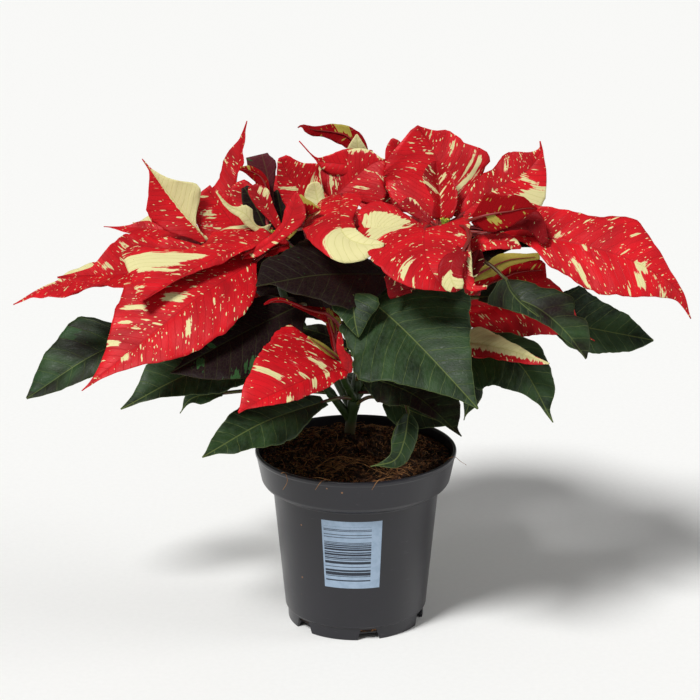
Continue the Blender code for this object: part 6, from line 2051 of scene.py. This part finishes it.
    def fibres(self, name: str, sizes: Mapping[str, float], reach: float, finish: bpy.types.Material) -> None:
        """Scatters bent fibres, thickest in the clumps.

        Args:
            name: The piece's name.
            sizes: The tree's inputs.
            reach: How far from the middle they start, in mm.
            finish: Their material.
        """
        recipe, given = self.loose_tree(name + "_tree", sizes)
        add = recipe.add
        thick = add(Node.MULTIPLY_ADD, add(Node.CLUMP, "clump"), 0.9, 0.1)
        density = add(Node.MULTIPLY, thick, given["Fibres per m2"])
        places = add(Node.STREWN, given["Geometry"], density, given["Seed"])
        length = given["Length"]
        bend = add(Node.MULTIPLY, length, 0.42)
        lift = add(Node.MULTIPLY, length, 0.16)
        half = add(Node.MULTIPLY, length, 0.5)
        near = add(Node.MULTIPLY, half, -1.0)
        start = add(Node.JOINED, near, None, -0.6 * MM)
        middle = add(Node.JOINED, None, bend, lift)
        end = add(Node.JOINED, half, None, -0.4 * MM)
        arc = add(Node.ARC, 7, start, middle, end)
        spin = add(Node.RANDOM, (-0.35, -0.3, 0.0), (0.35, 0.3, 6.28), given["Seed"])
        laid = add(Node.INSTANCES, places, arc, spin, add(Node.RANDOM, (0.45, 0.2, 0.3), (1.25, 1.2, 1.2)))
        # Noise of about 7 mm makes each fibre wander.
        wander = add(Node.NOISE, None, 140.0, 1.0, output="Color")
        shift = add(Node.VECTOR_SCALE, add(Node.VECTOR_ADD, wander, (-0.5, -0.5, -0.42)), 5 * MM)
        bent = add(Node.MOVED, add(Node.REALIZED, laid), shift)
        thread = add(Node.SWEPT, bent, add(Node.RING, 3, given["Radius"]), True)
        self.scatter(name, recipe, thread, finish, sizes, reach)

    def rim_fibre_piece(self, finish: bpy.types.Material) -> None:
        """Lays the fibres that hang over the rim.

        Args:
            finish: Their material.
        """
        mesh = PieceMesh()
        for number, path in enumerate(self.rim_fibres):
            samples = resampled(path, self.rim_fibre_steps)
            wobble = np.sin(np.linspace(0, 9 + number, len(samples)))[:, None] * (0.25, 0.2, 0.15)
            mesh.bar(samples + wobble, np.linspace(0.26, 0.12, len(samples)), 5, 0)
        rides(mesh.piece("rim_fibres", [finish]), Slot.SOIL)

    def dress(self) -> None:
        """Adds the loose crumbs and all the fibres."""
        peat = self.peat.material()
        coir = self.coir.material()
        self.crumbs(peat)
        self.fibres("coir_fibres_long", {"Fibres per m2": 26000.0, "Length": 22 * MM, "Radius": 0.16 * MM,
                                         "Seed": self.seed + 1}, 48.0, coir)
        self.fibres("coir_fibres_short", {"Fibres per m2": 150000.0, "Length": 8 * MM, "Radius": 0.13 * MM,
                                          "Seed": self.seed + 2}, 55.0, coir)
        self.rim_fibre_piece(coir)


@dataclass
class Poinsettia:
    """The plant: its main stem, its leafy shoots, and the bracts and cyathia of its heads."""

    trunk_radius: float = 3.7
    shoot_radius: float = 2.5
    leaf_stalk: float = 1.1
    bract_stalk: float = 0.95
    hub_length: float = 7.0
    hub_radius: float = 2.9
    hub_turn: float = 1.9
    hub_steps: int = 12
    whorls: int = 4
    whorl_gap: float = 0.15
    stem_stride: int = 6
    stem_sides: int = 20
    node_swelling: float = 0.16
    node_reach: float = 2.4
    buds: int = 5
    bud_spread: float = 1.9
    cushion_radii: tuple[float, ...] = (1.7, 2.0, 2.2, 2.2, 2.1, 1.9, 1.5, 0.8)
    cup_radii: tuple[float, ...] = (0.5, 0.95, 1.25, 1.42, 1.5, 1.48, 1.38, 1.2, 1.0, 0.85, 0.55)
    lip_radii: tuple[float, ...] = (0.15, 0.34, 0.46, 0.5, 0.52, 0.5, 0.46, 0.34, 0.15)
    stamen_radii: tuple[float, ...] = (0.1, 0.1, 0.1, 0.1, 0.16, 0.24, 0.12)
    cup_sides: int = 14
    stamens: int = 4
    shaper: BladeShaper = field(default_factory=BladeShaper)
    bract: VariegatedBract = field(default_factory=VariegatedBract)
    leaf: PoinsettiaLeaf = field(default_factory=PoinsettiaLeaf)
    bark: GreenStem = field(default_factory=GreenStem)
    stalk: LeafStalk = field(default_factory=LeafStalk)

    def __post_init__(self) -> None:
        """Builds each finish once and starts the count of blades."""
        leaf_stalk, bark = self.stalk.material(), self.bark.material()
        bract_stalk = LeafStalk(name="poinsettia_bract_stalk", flush="8E1A20", green="7A2A20").material()
        self.leaf_skins = [self.leaf.material(), leaf_stalk, bark]
        self.bract_skins = [self.bract.material(), bract_stalk, bark]
        self.cup_skins = [
            BudSkin().material(),
            BudSkin("cyathium_nectar_gland", light="F0D34A", dark="D2A422", roughness=0.2).material(),
            BudSkin("cyathium_stamen_red", light="D8402E", dark="A31B1A", roughness=0.5,
                    grain=0.4).material()]
        self.blades_made = 0

    def path(self, name: str) -> np.ndarray:
        """Fine samples of a shoot's path."""
        return resampled(SHOOTS[name].path, FINE_STEPS)

    def stem_run(self, name: str, first: float, last: float, thick: float, thin: float,
                 joints: Iterable[float], mesh: PieceMesh) -> None:
        """Adds a length of stem with a slight ring where each leaf leaves it.

        Args:
            name: The shoot's name.
            first: Where the length starts, from 0 to 1.
            last: Where it ends.
            thick: Its radius at the start in mm.
            thin: Its radius at the end in mm.
            joints: Where leaves leave it, from 0 to 1.
            mesh: The piece that it belongs to.
        """
        path = self.path(name)
        low, high = round(first * (FINE_STEPS - 1)), round(last * (FINE_STEPS - 1))
        samples = resampled(path[low:high + 1:self.stem_stride], max(12, (high - low) // 2))
        run = np.linspace(first, last, len(samples))
        length = run_length(path)
        radii = np.linspace(thick, thin, len(samples))
        for joint in (*joints, first):
            away = (run - joint) * length / self.node_reach
            radii = radii * (1 + self.node_swelling * np.exp(-away ** 2))
        mesh.bar(samples, radii, self.stem_sides, Skin.STEM)

    def blades(self, blades: Iterable[Blade], starts: Iterable[np.ndarray], radius: float,
               mesh: PieceMesh) -> None:
        """Adds blades with their stalks.

        Args:
            blades: The blades.
            starts: Where each one's stalk leaves its stem.
            radius: The stalks' radius in mm.
            mesh: The piece that they belong to.
        """
        for blade, start in zip(blades, starts):
            self.blades_made += 1
            LOG.debug("blade %d: %s", self.blades_made, blade.label)
            self.shaper.blade(blade, start, radius, self.blades_made, mesh)

    def leaf_starts(self, leaves: Iterable[Blade], name: str) -> list[np.ndarray]:
        """Where each leaf's stalk leaves its shoot."""
        return [self.path(leaf.branch or name)[round(leaf.joint * (FINE_STEPS - 1))] for leaf in leaves]

    def main_stem(self) -> None:
        """Builds the trunk with the foot of every branch and the leaves on them."""
        mesh = PieceMesh()
        leaves = MAIN_LEAVES + MAIN_BACK_LEAVES
        for name, shoot in SHOOTS.items():
            thick, thin = 1.15 * self.shoot_radius, self.shoot_radius
            if name == "centre":
                thick, thin = self.trunk_radius, 0.8 * self.trunk_radius
            joints = [leaf.joint for leaf in leaves if (leaf.branch or "centre") == name]
            self.stem_run(name, 0.0, shoot.low_part, thick, thin, joints, mesh)
        self.blades(leaves, self.leaf_starts(leaves, "centre"), self.leaf_stalk, mesh)
        stem = mesh.piece("main_stem_leaves", self.leaf_skins)
        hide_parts("main_stem")
        rides(stem, Slot.LEAF)

    def leafy_shoot(self, name: str, leaves: Sequence[Blade]) -> None:
        """Builds the upper part of a branch and its leaves.

        Args:
            name: The shoot's name.
            leaves: Its leaves.
        """
        mesh = PieceMesh()
        thick = 0.8 * self.trunk_radius if name == "centre" else self.shoot_radius
        self.stem_run(name, SHOOTS[name].low_part, 1.0, thick, self.shoot_radius,
                      [leaf.joint for leaf in leaves], mesh)
        self.blades(leaves, self.leaf_starts(leaves, name), self.leaf_stalk, mesh)
        shoot = mesh.piece("shoot_leaves_" + name, self.leaf_skins)
        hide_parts("shoot_" + name)
        rides(shoot, Slot.LEAF)

    def hub_line(self, name: str) -> tuple[np.ndarray, np.ndarray]:
        """Where the middle of a head begins and ends, straight on from its shoot.

        Args:
            name: The head's name.

        Returns:
            Both ends.
        """
        path = self.path(name)
        heading = unit(path[-1] - path[-3])
        start = path[-1] + heading * CLEAR
        return start, start + heading * self.hub_length

    def bract_head(self, name: str, bracts: Sequence[Blade]) -> None:
        """Builds the bracts of one head on their short hub.

        Args:
            name: The head's name.
            bracts: Its bracts.
        """
        start, end = self.hub_line(name)
        mesh = PieceMesh()
        samples = resampled((start, (start + end) / 2, end), self.hub_steps)
        swelling = np.sin(np.linspace(0, self.hub_turn, self.hub_steps))
        radii = self.shoot_radius + (self.hub_radius - self.shoot_radius) * swelling
        mesh.bar(samples, radii, self.stem_sides, Skin.STEM)
        # Bracts leave the hub in whorls, one above the other.
        starts = [start + self.whorl_gap * (1 + number % self.whorls) * (end - start)
                  for number in range(len(bracts))]
        self.blades(bracts, starts, self.bract_stalk, mesh)
        head = mesh.piece("bract_head_" + name, self.bract_skins)
        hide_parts("bracts_" + name)
        rides(head, Slot.BRACT)

    def cyathia(self, name: str) -> None:
        """Builds the little true flowers: green cups, each with a yellow gland and a few red stamens.

        Args:
            name: The head's name.
        """
        start, end = self.hub_line(name)
        heading = unit(end - start)
        seat = end + heading * (CLEAR + 0.5)
        mesh = PieceMesh()
        cushion = resampled((seat, seat + heading * 1.5, seat + heading * 3.0), len(self.cushion_radii))
        mesh.bar(cushion, self.cushion_radii, self.cup_sides, Bud.CUP)
        for number in range(self.buds):
            angle = 2 * math.pi * number / (self.buds - 1) + 0.4
            out = 0.0 if number == self.buds - 1 else self.bud_spread
            lean = np.array([math.cos(angle), math.sin(angle), 0.0]) * out
            foot = seat + heading * 1.2 + 0.5 * lean
            crown = seat + heading * 5.2 + 1.25 * lean
            cup = resampled((foot, (foot + crown) / 2, crown), len(self.cup_radii))
            mesh.bar(cup, self.cup_radii, self.cup_sides, Bud.CUP)
            away = unit(np.array([math.cos(angle), math.sin(angle), 0.15]))
            gland = crown - heading * 1.1 + away * 0.95
            across = unit(np.cross(away, heading))
            lip = resampled((gland - across * 0.85, gland + away * 0.35, gland + across * 0.85),
                            len(self.lip_radii))
            mesh.bar(lip, self.lip_radii, 9, Bud.GLAND, squeeze=0.6)
            for thread in range(self.stamens):
                turn = angle + 1.7 * thread
                spread = np.array([math.cos(turn), math.sin(turn), 0.0]) * 0.45
                root = crown + 0.5 * spread - heading * 0.2
                knots = (root, root + heading * 0.8 + spread * 0.4, root + heading * 1.3 + spread)
                mesh.bar(resampled(knots, len(self.stamen_radii)), self.stamen_radii, 6, Bud.STAMEN)
        cluster = mesh.piece("cyathium_cluster_" + name, self.cup_skins)
        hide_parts("cyathia_" + name)
        rides(cluster, Slot.BUD)

    def build(self) -> None:
        """Builds the whole plant, node by node."""
        self.main_stem()
        for name, leaves, bracts in HEADS:
            self.leafy_shoot(name, leaves)
            self.bract_head(name, bracts)
            self.cyathia(name)


@dataclass(frozen=True)
class SoftLight:
    """A broad, soft light far off: where it shines from, how wide it looks in degrees, and its strength."""

    name: str
    place: Point
    spread: float
    strength: float
    colour: str = "FFFFFF"

    def build(self) -> None:
        """Hangs the light."""
        lamp = bpy.data.lights.new(self.name, "SUN")
        lamp.angle = math.radians(self.spread)
        lamp.energy = self.strength
        lamp.color = linear(self.colour)[:3]
        made = linked(self.name, lamp)
        made.location = self.place
        made.rotation_euler = (-Vector(self.place)).to_track_quat("-Z", "Y").to_euler()


@dataclass
class Studio:
    """The pale floor, the soft lights and the camera."""

    floor_size: float = 14.0
    world_colour: str = "FFFFFF"
    world_strength: float = 0.2
    camera_place: Point = (-3.75, -1428.9, 638.2)
    camera_tilt: float = 72.29
    lens: float = 121.07
    lights: tuple[SoftLight, ...] = (
        SoftLight("key_light", (-0.6, -0.7, 1.15), 16.0, 3.1),
        SoftLight("side_light", (1.5, -0.1, 0.7), 30.0, 0.7))
    paper: StudioPaper = field(default_factory=StudioPaper)

    def floor(self) -> None:
        """Lays the paper."""
        half = self.floor_size / 2
        mesh = bpy.data.meshes.new("paper_floor")
        mesh.from_pydata([(-half, -half, 0), (half, -half, 0), (half, half, 0), (-half, half, 0)], [],
                         [(0, 1, 2, 3)])
        mesh.materials.append(self.paper.material())
        made = linked("paper_floor", mesh)

    def camera(self) -> None:
        """Sets up the camera at the photograph's angle."""
        lens = bpy.data.cameras.new("camera")
        lens.lens = self.lens
        lens.sensor_width = 36.0
        lens.clip_start, lens.clip_end = 0.05, 40.0
        made = linked("camera", lens)
        made.location = Vector(self.camera_place) * MM
        made.rotation_euler = (math.radians(self.camera_tilt), 0.0, 0.0)
        bpy.context.scene.camera = made

    def build(self) -> None:
        """Sets the whole studio up."""
        self.camera()
        self.floor()
        for light in self.lights:
            light.build()
        world = bpy.data.worlds.new("soft_white_room")
        world.use_nodes = True
        background = world.node_tree.nodes["Background"]
        background.inputs["Color"].default_value = linear(self.world_colour)
        background.inputs["Strength"].default_value = self.world_strength
        bpy.context.scene.world = world
        bpy.context.scene.view_settings.view_transform = "Standard"


def main() -> None:
    """Builds the plant, its pot and the studio."""
    logging.basicConfig(level=logging.INFO, format="%(name)s: %(message)s")
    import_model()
    pot = GrowersPot()
    pot.build()
    PrintPanel(pot).build()
    compost = Compost(pot)
    compost.build()
    compost.dress()
    Poinsettia().build()
    Studio().build()


if __name__ == "__main__":
    main()
